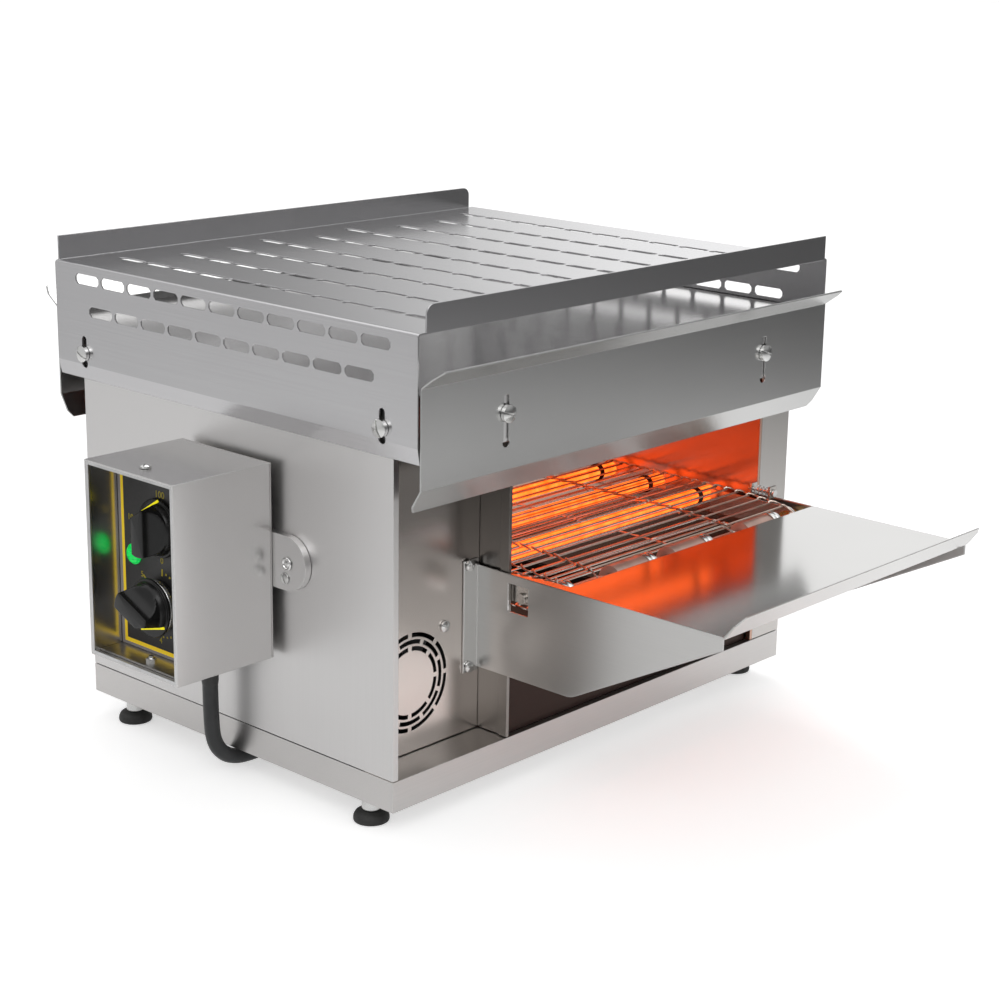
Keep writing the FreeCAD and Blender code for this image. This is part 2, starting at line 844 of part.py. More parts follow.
def belt_point(legs, distance):
    """Place on the belt's middle line at a distance along it."""
    total = sum(leg[1] for leg in legs)
    left = distance % total
    for kind, length, data in legs:
        if left <= length:
            share = left / length
            if kind == "line":
                ya, za, yb, zb = data
                return V(0, ya + (yb - ya) * share, za + (zb - za) * share)
            centre, first = data
            angle = first - math.pi * share
            return V(0, centre + belt_radius * math.cos(angle), axle_z + belt_radius * math.sin(angle))
        left -= length
    return V(0, front_axle_y, axle_z + belt_radius)


def wire_outline(reach, hooked):
    """Outline of one belt wire: hooks stand off its front edge up to the next wire."""
    h = belt_wire / 2
    w = belt_wire
    end = belt_width
    if not hooked:
        return ((0, -h), (end, -h), (end, reach), (end - w, reach), (end - w, h), (w, h), (w, reach), (0, reach))
    front = [(0, h)]
    back = [(0, -h)]
    for share in hook_place_shares:
        a = end * share - hook_width / 2
        b = a + hook_width
        front += [(a, h), (a, reach), (b, reach), (b, h)]
        back += [(a + w, -h), (a + w, reach - w), (b - w, reach - w), (b - w, -h)]
    front.append((end, h))
    back.append((end, -h))
    return tuple(front + back[::-1])


def wire_belt():
    """Endless belt: every second wire is a staple, the others carry open hooks."""
    legs = belt_path()
    total = sum(leg[1] for leg in legs)
    count = 2 * round(total / belt_pitch / 2)
    step = total / count
    made = []
    for k in range(count):
        here = belt_point(legs, k * step)
        there = belt_point(legs, (k + 1) * step)
        chord = (there - here).Length
        forward = (there - here) * (1 / chord)
        normal = X_AXIS.cross(forward)
        reach = chord - belt_wire / 2 - hook_gap
        start = here + X_AXIS * belt_left - normal * (belt_wire / 2)
        points = [start + X_AXIS * u + forward * v for u, v in wire_outline(reach, k % 2)]
        made.append(prism(points, normal * belt_wire))
    return made


def bobbin_ends():
    """Both ends of each roller along X."""
    places = []
    for centre, length in zip(bobbin_centre_shares, bobbin_length_shares):
        middle = belt_left + centre * belt_width
        half = length * belt_width / 2
        places.append((middle - half, middle + half))
    return places


def front_bobbins():
    """Smooth rollers on the front axle, each with a collar at its right end."""
    made = []
    neck = bobbin_radius - bobbin_collar_rise
    bore = axle_radius + run_gap
    for x0, x1 in bobbin_ends():
        length = x1 - x0
        profile = ((bore, 0), (neck, 0), (neck, length - bobbin_collar_length),
                   (bobbin_radius, length - bobbin_collar_length), (bobbin_radius, length), (bore, length))
        made.append(round_body(profile, V(x0, front_axle_y, axle_z), X_AXIS))
    return made


def drive_bobbins():
    """Plain rollers on the driven axle."""
    return [tube(bobbin_radius, axle_radius + run_gap, V(x0, drive_axle_y, axle_z), X_AXIS, x1 - x0)
            for x0, x1 in bobbin_ends()]


def front_axle():
    """Axle of the front roller, held between the two arms."""
    x0 = tray_left + sheet + axle_end_play
    x1 = tray_right - sheet - axle_end_play
    return rod(axle_radius, V(x0, front_axle_y, axle_z), X_AXIS, x1 - x0)


def arm(x0):
    """Flat arm with a round nose and a bush hole."""
    nose = (arm_high - arm_low) / 2
    middle = (arm_high + arm_low) / 2
    plate = box(x0, front_axle_y, arm_low, x0 + arm_sheet, arm_back, arm_high)
    tip = rod(nose, V(x0, front_axle_y, middle), X_AXIS, arm_sheet)
    body = fuse([plate, tip])
    return body.cut(rod(bush_radius + run_gap, V(x0 - overrun, front_axle_y, axle_z), X_AXIS,
                        arm_sheet + 2 * overrun))


def left_arm():
    """Left arm with its adjusting bolt seen through the tray's window."""
    body = arm(left_arm_x)
    bolt_y = -(window_back + window_length / 2)
    bolt_z = (window_low + window_high) / 2
    head = rod(arm_bolt_radius, V(left_arm_x, bolt_y, bolt_z), -X_AXIS, arm_sheet)
    return fuse([body, head])


def right_arm():
    """Right arm with two spacers to the wall and the upright tab of the tensioner."""
    body = arm(right_arm_x)
    spacers = [rod(arm_bolt_radius, V(right_arm_x + arm_sheet, y, axle_z), X_AXIS,
                   right_arm_offset - arm_sheet - fit_gap) for y in arm_bolt_ys]
    neck = box(right_arm_x, lug_y, arm_high - arm_sheet, right_arm_x + arm_sheet, lug_y + lug_depth, lug_top)
    tab = tension_lug(right_arm_x, wall_right_out, lug_y, lug_foot)
    return fuse([body] + spacers + [neck, tab])


def tension_screw():
    """Screw that pulls the two tabs of the tensioner together."""
    place = V(tension_x(), lug_y - fit_gap, tension_z)
    length = -lug_y + lug_depth + overrun
    return fuse([rod(tension_head_radius, place, -Y_AXIS, tension_head_height),
                 rod(tension_screw_radius, place, Y_AXIS, length)])


def tension_spring():
    """Coil spring between the two tabs of the tensioner, swept along half-turn biarcs."""
    y0 = lug_y + lug_depth + fit_gap + spring_wire / 2
    y1 = -fit_gap - spring_wire / 2
    pitch = (y1 - y0) / spring_turn_count
    rise = pitch / (2 * math.pi)

    def place(angle):
        return V(tension_x() + spring_radius * math.cos(angle), y0 + rise * angle,
                 tension_z + spring_radius * math.sin(angle))

    def heading(angle):
        way = V(-spring_radius * math.sin(angle), rise, spring_radius * math.cos(angle))
        return way * (1 / way.Length)

    edges = []
    for k in range(2 * spring_turn_count):
        a = k * math.pi
        b = a + math.pi
        edges += biarc(place(a), heading(a), place(b), heading(b))
    ring = round_section(spring_wire / 2, place(0), heading(0), spring_side_count)
    gap = min((place(0.1 * i) - place(0.1 * i + 2 * math.pi)).Length for i in range(20)) - spring_wire
    print("spring turns", spring_turn_count, "gap between turns", round(gap, 2))
    return Part.Wire(edges).makePipeShell([ring], True, False)


def round_section(radius, centre, way, sides):
    """Regular polygon about a circle's middle, square to a direction."""
    first = way.cross(Z_AXIS)
    if first.Length < way.Length / 2:
        first = way.cross(X_AXIS)
    first = first * (radius / first.Length)
    second = way.cross(first)
    second = second * (radius / second.Length)
    turns = [2 * math.pi * k / sides for k in range(sides)]
    corners = [centre + first * math.cos(a) + second * math.sin(a) for a in turns]
    return Part.makePolygon(corners + [corners[0]])


def tangent_arc(start, way, end):
    """Arc from start, leaving along way, to end."""
    chord = end - start
    along = chord * (1 / chord.Length)
    side = way - along * way.dot(along)
    side = side * (1 / side.Length)
    half_turn = way.getAngle(along)
    middle = (start + end) * 0.5 + side * (chord.Length / 2 * math.tan(half_turn / 2))
    return Part.Arc(start, middle, end).toShape()


def biarc(start, way, end, end_way):
    """Two arcs that leave along one direction and arrive along another."""
    v = end - start
    t = way + end_way
    q = 2 * (1 - way.dot(end_way))
    reach = (math.sqrt(v.dot(t) ** 2 + q * v.dot(v)) - v.dot(t)) / q
    join = (start + way * reach + end - end_way * reach) * 0.5
    last = tangent_arc(end, -end_way, join)
    return [tangent_arc(start, way, join), last]


def bush(x0, axle_y, length):
    """Brass bush round an axle."""
    return tube(bush_radius, axle_radius + run_gap, V(x0, axle_y, axle_z), X_AXIS, length)


def front_bushes():
    """Brass bushes in the two arms and the brass collar nut on the right."""
    left = bush(left_arm_x + arm_sheet / 2 - bush_length / 2, front_axle_y, bush_length)
    right_x = right_arm_x + arm_sheet / 2 - bush_length / 2
    right = bush(right_x, front_axle_y, bush_length)
    collar = bush(right_x + bush_length + fit_gap, front_axle_y, collar_nut_length)
    return [left, right, collar]


def drive_bushes():
    """Brass bushes of the drive axle in the chamber walls."""
    half = bush_length / 2
    left = bush(chamber_left - sheet / 2 - half, drive_axle_y, bush_length)
    right = bush(chamber_right + sheet / 2 - half, drive_axle_y, bush_length)
    return [left, right]


def drive_axle():
    """Driven axle of the belt, from the chain wheel to the right compartment."""
    x0 = chain_x - hub_length
    x1 = wall_right_out + bush_length
    return rod(axle_radius, V(x0, drive_axle_y, axle_z), X_AXIS, x1 - x0)


def toothed_wheel(teeth, pitch_radius, bore, y, z, x0):
    """Chain wheel with pointed teeth and a hub on its left."""
    root = pitch_radius - tooth_height
    points = []
    for k in range(teeth):
        step = 2 * math.pi / teeth
        for radius, share in ((root, -0.32), (root, 0.32), (pitch_radius, 0.5)):
            angle = (k + share) * step
            points.append(V(x0, y + radius * math.cos(angle), z + radius * math.sin(angle)))
    wheel = prism(points, X_AXIS * sprocket_sheet)
    hub = rod(hub_radius, V(x0 - hub_length + sprocket_sheet, y, z), X_AXIS, hub_length)
    body = fuse([wheel, hub])
    if bore:
        body = body.cut(rod(bore, V(x0 - hub_length - overrun, y, z), X_AXIS, 2 * hub_length + 2 * overrun))
    return body


def drive_sprocket():
    """Chain wheel on the drive axle."""
    return toothed_wheel(drive_tooth_count, drive_pitch_radius, axle_radius + run_gap, drive_axle_y, axle_z, chain_x)


def motor_sprocket():
    """Small chain wheel with the gearbox's output axle."""
    wheel = toothed_wheel(motor_tooth_count, motor_pitch_radius, 0, motor_y, motor_z, chain_x)
    axle = rod(motor_axle_radius, V(chain_x - hub_length - overrun - bracket_sheet, motor_y, motor_z), X_AXIS,
               hub_length + overrun + bracket_sheet)
    return fuse([wheel, axle])


def chain_loop():
    """Roller chain drawn as one flat band round the two chain wheels."""
    dy = drive_axle_y - motor_y
    dz = axle_z - motor_z
    span = math.hypot(dy, dz)
    along = math.atan2(dz, dy)
    lean = math.acos((motor_pitch_radius - drive_pitch_radius) / span)

    def loop_face(offset):
        """Outline round both wheels at an offset from their pitch circles."""
        rm = motor_pitch_radius + offset
        rd = drive_pitch_radius + offset

        def at(y, z, r, angle):
            return V(chain_x, y + r * math.cos(angle), z + r * math.sin(angle))
        a0 = along + lean
        a1 = along - lean
        edges = [
            Part.Arc(at(motor_y, motor_z, rm, a0), at(motor_y, motor_z, rm, along + math.pi),
                     at(motor_y, motor_z, rm, a1)),
            Part.LineSegment(at(motor_y, motor_z, rm, a1), at(drive_axle_y, axle_z, rd, a1)),
            Part.Arc(at(drive_axle_y, axle_z, rd, a1), at(drive_axle_y, axle_z, rd, along),
                     at(drive_axle_y, axle_z, rd, a0)),
            Part.LineSegment(at(drive_axle_y, axle_z, rd, a0), at(motor_y, motor_z, rm, a0)),
        ]
        return Part.Face(Part.Wire([e.toShape() for e in edges]))

    inner = loop_face(sprocket_clear)
    outer = loop_face(sprocket_clear + chain_thickness)
    return outer.cut(inner).extrude(X_AXIS * chain_width)


def gear_motor():
    """Gear motor: gearbox block with the motor can on its left."""
    x1 = chain_x - hub_length - fit_gap - bracket_sheet
    x0 = x1 - gearbox_length
    half = gearbox_size / 2
    gearbox = box(x0, motor_y - half, motor_z - half, x1, motor_y + half, motor_z + half)
    can = rod(motor_radius, V(x0 - motor_length, motor_y, motor_z), X_AXIS, motor_length)
    body = fuse([gearbox, can])
    depth = overrun + fit_gap
    return body.cut(rod(motor_axle_radius + run_gap, V(x1 - depth, motor_y, motor_z), X_AXIS, depth + overrun))


def motor_bracket():
    """Angle plate that carries the gear motor on the plinth."""
    x0 = chain_x - hub_length - bracket_sheet
    half = gearbox_size / 2
    x1 = x0 + bracket_sheet - fit_gap
    plate = box(x0, motor_y - half, base_top, x1, motor_y + half, motor_z + half)
    foot = box(x0 - motor_foot, motor_y - half, base_top, x1, motor_y + half, base_top + bracket_sheet)
    body = fuse([plate, foot])
    clear = motor_axle_radius + fit_gap
    return body.cut(rod(clear, V(x0 - overrun, motor_y, motor_z), X_AXIS, bracket_sheet + 2 * overrun))


# Heaters

def heater_tubes(z):
    """Quartz tubes from wall to wall at one height."""
    return [rod(tube_radius, V(wall_left_out, y, z), X_AXIS, wall_right_out - wall_left_out) for y in tube_ys]


def end_blocks():
    """Ceramic blocks that hold the tube ends outside the chamber walls."""
    half = end_block / 2
    made = []
    for y in tube_ys:
        for z in (lower_tube_z, upper_tube_z):
            for face, out in ((wall_left_out, -1), (wall_right_out, 1)):
                near = face + out * fit_gap
                made.append(box(near, y - half, z - half, near + out * end_block_depth, y + half, z + half))
    return made


# Trays

def tray_screw_places():
    """Screws of the toast tray's flanges: (x, face y, z)."""
    left = tray_left - tray_screw_in
    right = tray_right + tray_screw_in
    left_y = fan_panel_y - fit_gap
    return ((left, left_y, tray_screw_high), (left, left_y, tray_screw_low),
            (right, -fit_gap, tray_screw_middle), (right, -fit_gap, tray_screw_low))


def cheek(x0, back_y):
    """One upright cheek of the toast tray, with a rounded lowest corner."""
    lowest = V(x0, -tray_cheek_flat, tray_cheek_low)
    plate = prism([V(x0, back_y, tray_floor_z), V(x0, back_y, tray_cheek_low), lowest,
                   V(x0, -tray_reach, tray_cheek_front_z), V(x0, -tray_reach, tray_floor_z)], X_AXIS * sheet)
    corner = [edge for edge in plate.Edges
              if all(abs(v.Y - lowest.y) < fit_gap and abs(v.Z - lowest.z) < fit_gap for v in edge.Vertexes)]
    return plate.makeFillet(tray_cheek_corner, corner)


def toast_tray():
    """Toast tray: floor, upturned lip, two cheeks and two screwed flanges."""
    left = tray_left
    right = tray_right
    z1 = tray_floor_z
    z0 = z1 - sheet
    front = -tray_reach
    floor = box(left, front, z0, right, -tray_floor_start, z1)
    strip = box(left, -tray_floor_start, z0, left + sheet + tray_strip, -fit_gap, z1)
    t = sheet
    lip_section = ((front, z0), (front, z1), (front - tray_lip_out, z1 + tray_lip_up),
                   (front - tray_lip_out - t, z1 + tray_lip_up), (front - t, z0))
    lip = prism([V(left, y, z) for y, z in lip_section], X_AXIS * (right - left))
    back = fan_panel_y - fit_gap
    left_cheek = cheek(left, back)
    right_cheek = cheek(right - sheet, -fit_gap)
    left_flange = box(left - tray_flange, back - sheet, tray_flange_low, left + sheet, back, tray_flange_top)
    right_flange = box(right - sheet, -fit_gap - sheet, tray_flange_low, right + tray_flange, -fit_gap,
                       tray_floor_z - sheet)
    body = fuse([floor, strip, lip, left_cheek, right_cheek, left_flange, right_flange])
    tools = [box(left - overrun, -(window_back + window_length), window_low, left + overrun, -window_back,
                 window_high)]
    for x, y, z in tray_screw_places():
        up = 1 if z > (tray_flange_top + tray_flange_low) / 2 else -1
        end = tray_flange_top if up > 0 else tray_flange_low
        tools.append(box(x - tray_notch, y - sheet - overrun, z, x + tray_notch, y + overrun, end + up * overrun))
        tools.append(rod(tray_notch, V(x, y - sheet - overrun, z), Y_AXIS, sheet + 2 * overrun))
    c = lip_corner
    for edge, inward in ((left, 1), (right, -1)):
        y = front - tray_lip_out - overrun
        corner = [V(edge, y, z1 + tray_lip_up - c), V(edge, y, z1 + tray_lip_up), V(edge + inward * c, y,
                                                                                     z1 + tray_lip_up)]
        tools.append(prism(corner, Y_AXIS * (tray_lip_out + overrun)))
    return cut(body, tools)


def tray_screws():
    """Screws of the toast tray's two flanges."""
    return [small_screw(V(x, y - sheet - fit_gap, z), -Y_AXIS, 3 * sheet + fit_gap)
            for x, y, z in tray_screw_places()]


def crumb_tray():
    """Shallow crumb tray with a high front and a pull lip."""
    x0 = chamber_left + crumb_side_gap
    x1 = chamber_right - crumb_side_gap
    y0 = crumb_front_in
    y1 = case_depth - crumb_back_in
    z0 = crumb_floor
    t = crumb_sheet
    wall_top = z0 + crumb_wall_height
    front_top = z0 + crumb_front_height
    pan = box(x0, y0, z0, x1, y1, wall_top).cut(box(x0 + t, y0 + t, z0 + t, x1 - t, y1 - t, wall_top + overrun))
    front = box(x0, y0, z0, x1, y0 + t, front_top)
    pull = box(x0, y0, front_top - t, x1, y0 + t + crumb_pull, front_top)
    return fuse([pan, front, pull])


# Fan

def fan_screw_places():
    """Two screws of the fan, on a diagonal of its square."""
    return [(fan_x + a * fan_hole_half, fan_z + a * fan_hole_half) for a in (-1, 1)]


def fan_screws():
    """Screws that hold the fan behind its panel."""
    return [small_screw(V(x, fan_panel_y - fit_gap, z), -Y_AXIS, sheet + overrun) for x, z in fan_screw_places()]


def fan_frame():
    """Square fan frame with a stator on four struts."""
    half = fan_size / 2
    y0 = fan_panel_back + fit_gap
    y1 = y0 + fan_depth
    frame = box(fan_x - half, y0, fan_z - half, fan_x + half, y1, fan_z + half)
    bore = rod(fan_bore_radius, V(fan_x, y0 - overrun, fan_z), Y_AXIS, fan_depth + 2 * overrun)
    holes = [rod(small_shank_radius + run_gap, V(x, y0 - overrun, z), Y_AXIS, fan_depth + 2 * overrun)
             for x, z in fan_screw_places()]
    frame = cut(frame, [bore] + holes)
    y2 = y1 - stator_depth
    stator = rod(stator_radius, V(fan_x, y2, fan_z), Y_AXIS, stator_depth)
    pin = rod(fan_pin_radius, V(fan_x, y2 - fan_pin_length, fan_z), Y_AXIS, fan_pin_length)
    reach = fan_bore_radius + strut_width / 2
    s = strut_width / 2
    struts = [box(fan_x - reach, y2, fan_z - s, fan_x + reach, y1, fan_z + s),
              box(fan_x - s, y2, fan_z - reach, fan_x + s, y1, fan_z + reach)]
    return fuse([frame, stator, pin] + struts)


def fan_impeller():
    """Seven-bladed impeller with a blind bore on the stator's pin."""
    y0 = fan_panel_back + fit_gap + impeller_front_gap
    y1 = y0 + impeller_depth
    start = V(fan_x, y0, fan_z)
    hub = rod(impeller_hub_radius, start, Y_AXIS, impeller_depth)
    middle = V(fan_x, (y0 + y1) / 2, fan_z)
    chord = (impeller_depth - blade_sheet) / math.cos(math.radians(blade_tilt_deg)) * math.cos(
        math.radians(blade_tilt_deg)) ** 2
    blades = []
    for k in range(impeller_blade_count):
        blade = box(fan_x + impeller_hub_radius / 2, middle.y - chord / 2, fan_z - blade_sheet / 2,
                    fan_x + impeller_radius - blade_sheet, middle.y + chord / 2, fan_z + blade_sheet / 2)
        blade.rotate(middle, X_AXIS, blade_tilt_deg)
        blade.rotate(middle, Y_AXIS, k * 360 / impeller_blade_count)
        blades.append(blade)
    body = fuse([hub] + blades)
    pin_start = fan_panel_back + fit_gap + fan_depth - stator_depth - fan_pin_length - fit_gap
    return body.cut(rod(fan_pin_radius + run_gap, V(fan_x, pin_start, fan_z), Y_AXIS, fan_pin_length + overrun))


# Control box

def box_hood():
    """Sheet sleeve of the control box, open towards the left."""
    outer = box(box_left, box_front_y, box_bottom, box_right - sheet - fit_gap, box_back_y, box_top)
    inner = box(box_left - overrun, box_front_y + sheet, box_bottom + sheet, box_right + overrun,
                box_back_y - sheet, box_top - sheet)
    gland_x, gland_y = cable_route[0][0], cable_route[0][1]
    tools = [inner, rod(cable_radius + fit_gap, V(gland_x, gland_y, box_bottom - overrun), Z_AXIS, 2 * overrun)]
    for z in (box_bottom, box_top):
        tools.append(rod(small_shank_radius + run_gap, V(box_left + box_screw_in, box_middle_y, z - overrun), Z_AXIS,
                         2 * overrun))
    return cut(outer, tools)


def box_back_plate():
    """Back plate of the control box with a slot for the wires."""
    return box(box_right - sheet, box_front_y, box_bottom, box_right, box_back_y, box_top)


def knob_places():
    """Axes of the two knobs: (y, z, grip angle)."""
    return ((box_middle_y, upper_knob_z, upper_grip_deg), (box_middle_y, lower_knob_z, lower_grip_deg))


def panel_holes(x0, x1):
    """Holes for the spindles and the lamp through the panel and its carrier."""
    tools = [rod(spindle_radius + fit_gap, V(x0, y, z), X_AXIS, x1 - x0) for y, z, _ in knob_places()]
    tools.append(rod(lamp_body_radius + fit_gap, V(x0, box_middle_y + lamp_y_offset, lamp_z), X_AXIS, x1 - x0))
    return tools


def panel_carrier():
    """Inner bracket of the control box, with flanges above and below."""
    y0 = box_front_y + sheet + fit_gap
    y1 = box_back_y - sheet - fit_gap
    z0 = box_bottom + sheet + fit_gap
    z1 = box_top - sheet - fit_gap
    plate = box(carrier_face, y0, z0, carrier_back, y1, z1)
    low = box(carrier_face - carrier_flange, y0, z0, carrier_back, y1, z0 + sheet)
    high = box(carrier_face - carrier_flange, y0, z1 - sheet, carrier_back, y1, z1)
    tools = panel_holes(carrier_face - overrun, carrier_back + overrun)
    for z in (z0, z1):
        tools.append(rod(small_shank_radius + run_gap, V(box_left + box_screw_in, box_middle_y, z - overrun), Z_AXIS,
                         2 * overrun))
    return cut(fuse([plate, low, high]), tools)


def fascia_plate():
    """Dark scale plate behind the knobs."""
    y0 = box_front_y + sheet + 2 * fit_gap
    y1 = box_back_y - sheet - 2 * fit_gap
    z0 = box_bottom + 2 * sheet + 2 * fit_gap
    z1 = box_top - 2 * sheet - 2 * fit_gap
    plate = box(fascia_face, y0, z0, fascia_back, y1, z1)
    return cut(plate, panel_holes(fascia_face - overrun, fascia_back + overrun))


def knob(y, z, angle, wall=0):
    """Round skirt, a cylinder scooped on two sides to a grip bar, and a blind bore for its spindle."""
    skirt = round_body(((0, 0), (skirt_radius, 0), (skirt_rim_radius, skirt_depth), (0, skirt_depth)),
                       V(knob_base, y, z), -X_AXIS)
    foot_x = knob_base - skirt_depth
    grip = rod(grip_radius, V(foot_x, y, z), -X_AXIS, wall + grip_depth)
    scoops = []
    for side in (-1, 1):
        outline = ((grip_radius, 0), (grip_waist_width / 2, grip_waist_rise), (grip_top_width / 2, grip_depth),
                   (grip_top_width / 2, grip_depth + overrun), (grip_radius + overrun, grip_depth + overrun),
                   (grip_radius + overrun, 0))
        corners = [V(foot_x - wall - rise, y + side * out, z - grip_radius - overrun) for out, rise in outline]
        scoops.append(prism(corners, Z_AXIS * 2 * (grip_radius + overrun)))
    grip = grip.cut(scoops[0]).cut(scoops[1])
    grip.rotate(V(foot_x, y, z), X_AXIS, angle)
    body = fuse([skirt, grip])
    bore = rod(spindle_radius + run_gap, V(knob_base + overrun, y, z), -X_AXIS, spindle_bore_depth + overrun)
    return body.cut(bore)


def spindle(y, z):
    """Spindle of a switch, from inside its body into the knob."""
    x0 = knob_base - spindle_bore_depth + fit_gap
    x1 = carrier_back + switch_depth / 2
    return rod(spindle_radius, V(x0, y, z), X_AXIS, x1 - x0)


def switch_body(y, z):
    """Switch block behind the panel carrier."""
    half = switch_size / 2
    x0 = carrier_back + fit_gap
    body = box(x0, y - half, z - half, x0 + switch_depth, y + half, z + half)
    return body.cut(rod(spindle_radius + run_gap, V(x0 - overrun, y, z), X_AXIS, overrun + switch_depth / 2 + fit_gap))


def pilot_lamp():
    """Round lamp with its lens on the scale plate."""
    start = V(fascia_face - fit_gap, box_middle_y + lamp_y_offset, lamp_z)
    lens = round_body(((0, 0), (lamp_radius, 0), (lamp_radius - head_edge, lamp_rise), (0, lamp_rise)), start, -X_AXIS)
    body = rod(lamp_body_radius, start, X_AXIS, lamp_body_depth)
    return fuse([lens, body])


def box_screws():
    """Screws through the top and the bottom of the hood into the panel carrier."""
    x = box_left + box_screw_in
    length = 3 * sheet + 2 * fit_gap
    return [small_screw(V(x, box_middle_y, box_top + fit_gap), Z_AXIS, length),
            small_screw(V(x, box_middle_y, box_bottom - fit_gap), -Z_AXIS, length)]


def stadium(y0, y1, half, z, x0, depth):
    """Block with round ends in the side view."""
    bar = box(x0, y0 + half, z - half, x0 + depth, y1 - half, z + half)
    ends = [rod(half, V(x0, y, z), X_AXIS, depth) for y in (y0 + half, y1 - half)]
    return fuse([bar] + ends)


def box_bracket():
    """Dished bracket with round ends that keeps the box clear of the hot casing."""
    y1 = 2 * box_middle_y - bracket_front_y
    x0 = box_right + fit_gap
    body = stadium(bracket_front_y, y1, bracket_half_height, bracket_pivot_z, x0, bracket_thickness)
    hollow = stadium(bracket_front_y + sheet, y1 - sheet, bracket_half_height - sheet, bracket_pivot_z,
                     x0 + sheet, bracket_thickness)
    post = rod(bracket_ring_radius, V(x0, bracket_pivot_y, bracket_pivot_z), X_AXIS, bracket_thickness)
    body = fuse([body.cut(hollow), post])
    return body.cut(rod(bracket_ring_bore + run_gap, V(x0 - overrun, bracket_pivot_y, bracket_pivot_z), X_AXIS,
                        bracket_thickness + 2 * overrun))


def bracket_fixings():
    """Rivet ring and small screw on the bracket's front end."""
    x0 = box_right
    ring_start = V(x0, bracket_pivot_y, bracket_pivot_z)
    ring = tube(bracket_ring_radius, bracket_ring_bore, ring_start, -X_AXIS, bracket_ring_height)
    lock = V(x0, bracket_pivot_y + bracket_screw_back, bracket_pivot_z - bracket_screw_drop)
    head = rod(small_head_radius, lock, -X_AXIS, bracket_ring_height)
    return [ring, head]


# Cable

def route_curve(points, shares=0.45):
    """Straight runs through the points joined by tangent arcs; gives edges and radii."""
    places = [V(*p) for p in points]
    edges = []
    radii = []
    last = places[0]
    for before, here, after in zip(places, places[1:], places[2:]):
        run_in = before - here
        run_out = after - here
        turn = math.pi - run_in.getAngle(run_out)
        trim = shares * min(run_in.Length, run_out.Length)
        radius = trim / math.tan(turn / 2)
        a = here + run_in * (trim / run_in.Length)
        b = here + run_out * (trim / run_out.Length)
        inward = (a + b) * 0.5 - here
        depth = radius / math.cos(turn / 2) - radius
        middle = here + inward * (depth / inward.Length)
        edges.append(Part.LineSegment(last, a).toShape())
        edges.append(Part.Arc(a, middle, b).toShape())
        radii.append(radius)
        last = b
    edges.append(Part.LineSegment(last, places[-1]).toShape())
    return edges, radii


def control_cable():
    """Cable from the control box down under the plinth's edge and up into it."""
    edges, radii = route_curve(cable_route)
    path = Part.Wire(edges)
    start = V(*cable_route[0])
    first = V(*cable_route[1]) - start
    section = round_section(cable_radius, start, first, cable_side_count)
    body = path.makePipeShell([section], True, False)
    area = cable_side_count / 2 * cable_radius ** 2 * math.sin(2 * math.pi / cable_side_count)
    print("cable radii", [round(r, 1) for r in radii])
    print("cable volume ratio", round(body.Volume / (area * path.Length), 4))
    return body


def box_gland():
    """Cable gland under the control box, with a chamfered lower edge."""
    x, y, z0 = cable_route[0]
    height = box_bottom - fit_gap - z0
    profile = ((0, 0), (box_gland_radius - box_gland_edge, 0), (box_gland_radius, box_gland_edge),
               (box_gland_radius, height), (0, height))
    return round_body(profile, V(x, y, z0), Z_AXIS)


def base_gland():
    """Gland and junction block under the plinth's top, where the cable ends."""
    x, y, z = cable_route[-1]
    gland = rod(base_gland_radius, V(x, y, z), X_AXIS, base_gland_length)
    x0 = x + base_gland_length
    block = box(x0, y - anchor_half_width, z - anchor_half_width,
                x0 + anchor_length, y + anchor_half_width, base_top - base_sheet - fit_gap)
    return fuse([gland, block])


def terminal_block():
    """Terminal block on the plinth in the left compartment."""
    return box(terminal_x, terminal_y, base_top, terminal_x + terminal_width, terminal_y + terminal_length,
               base_top + terminal_height)


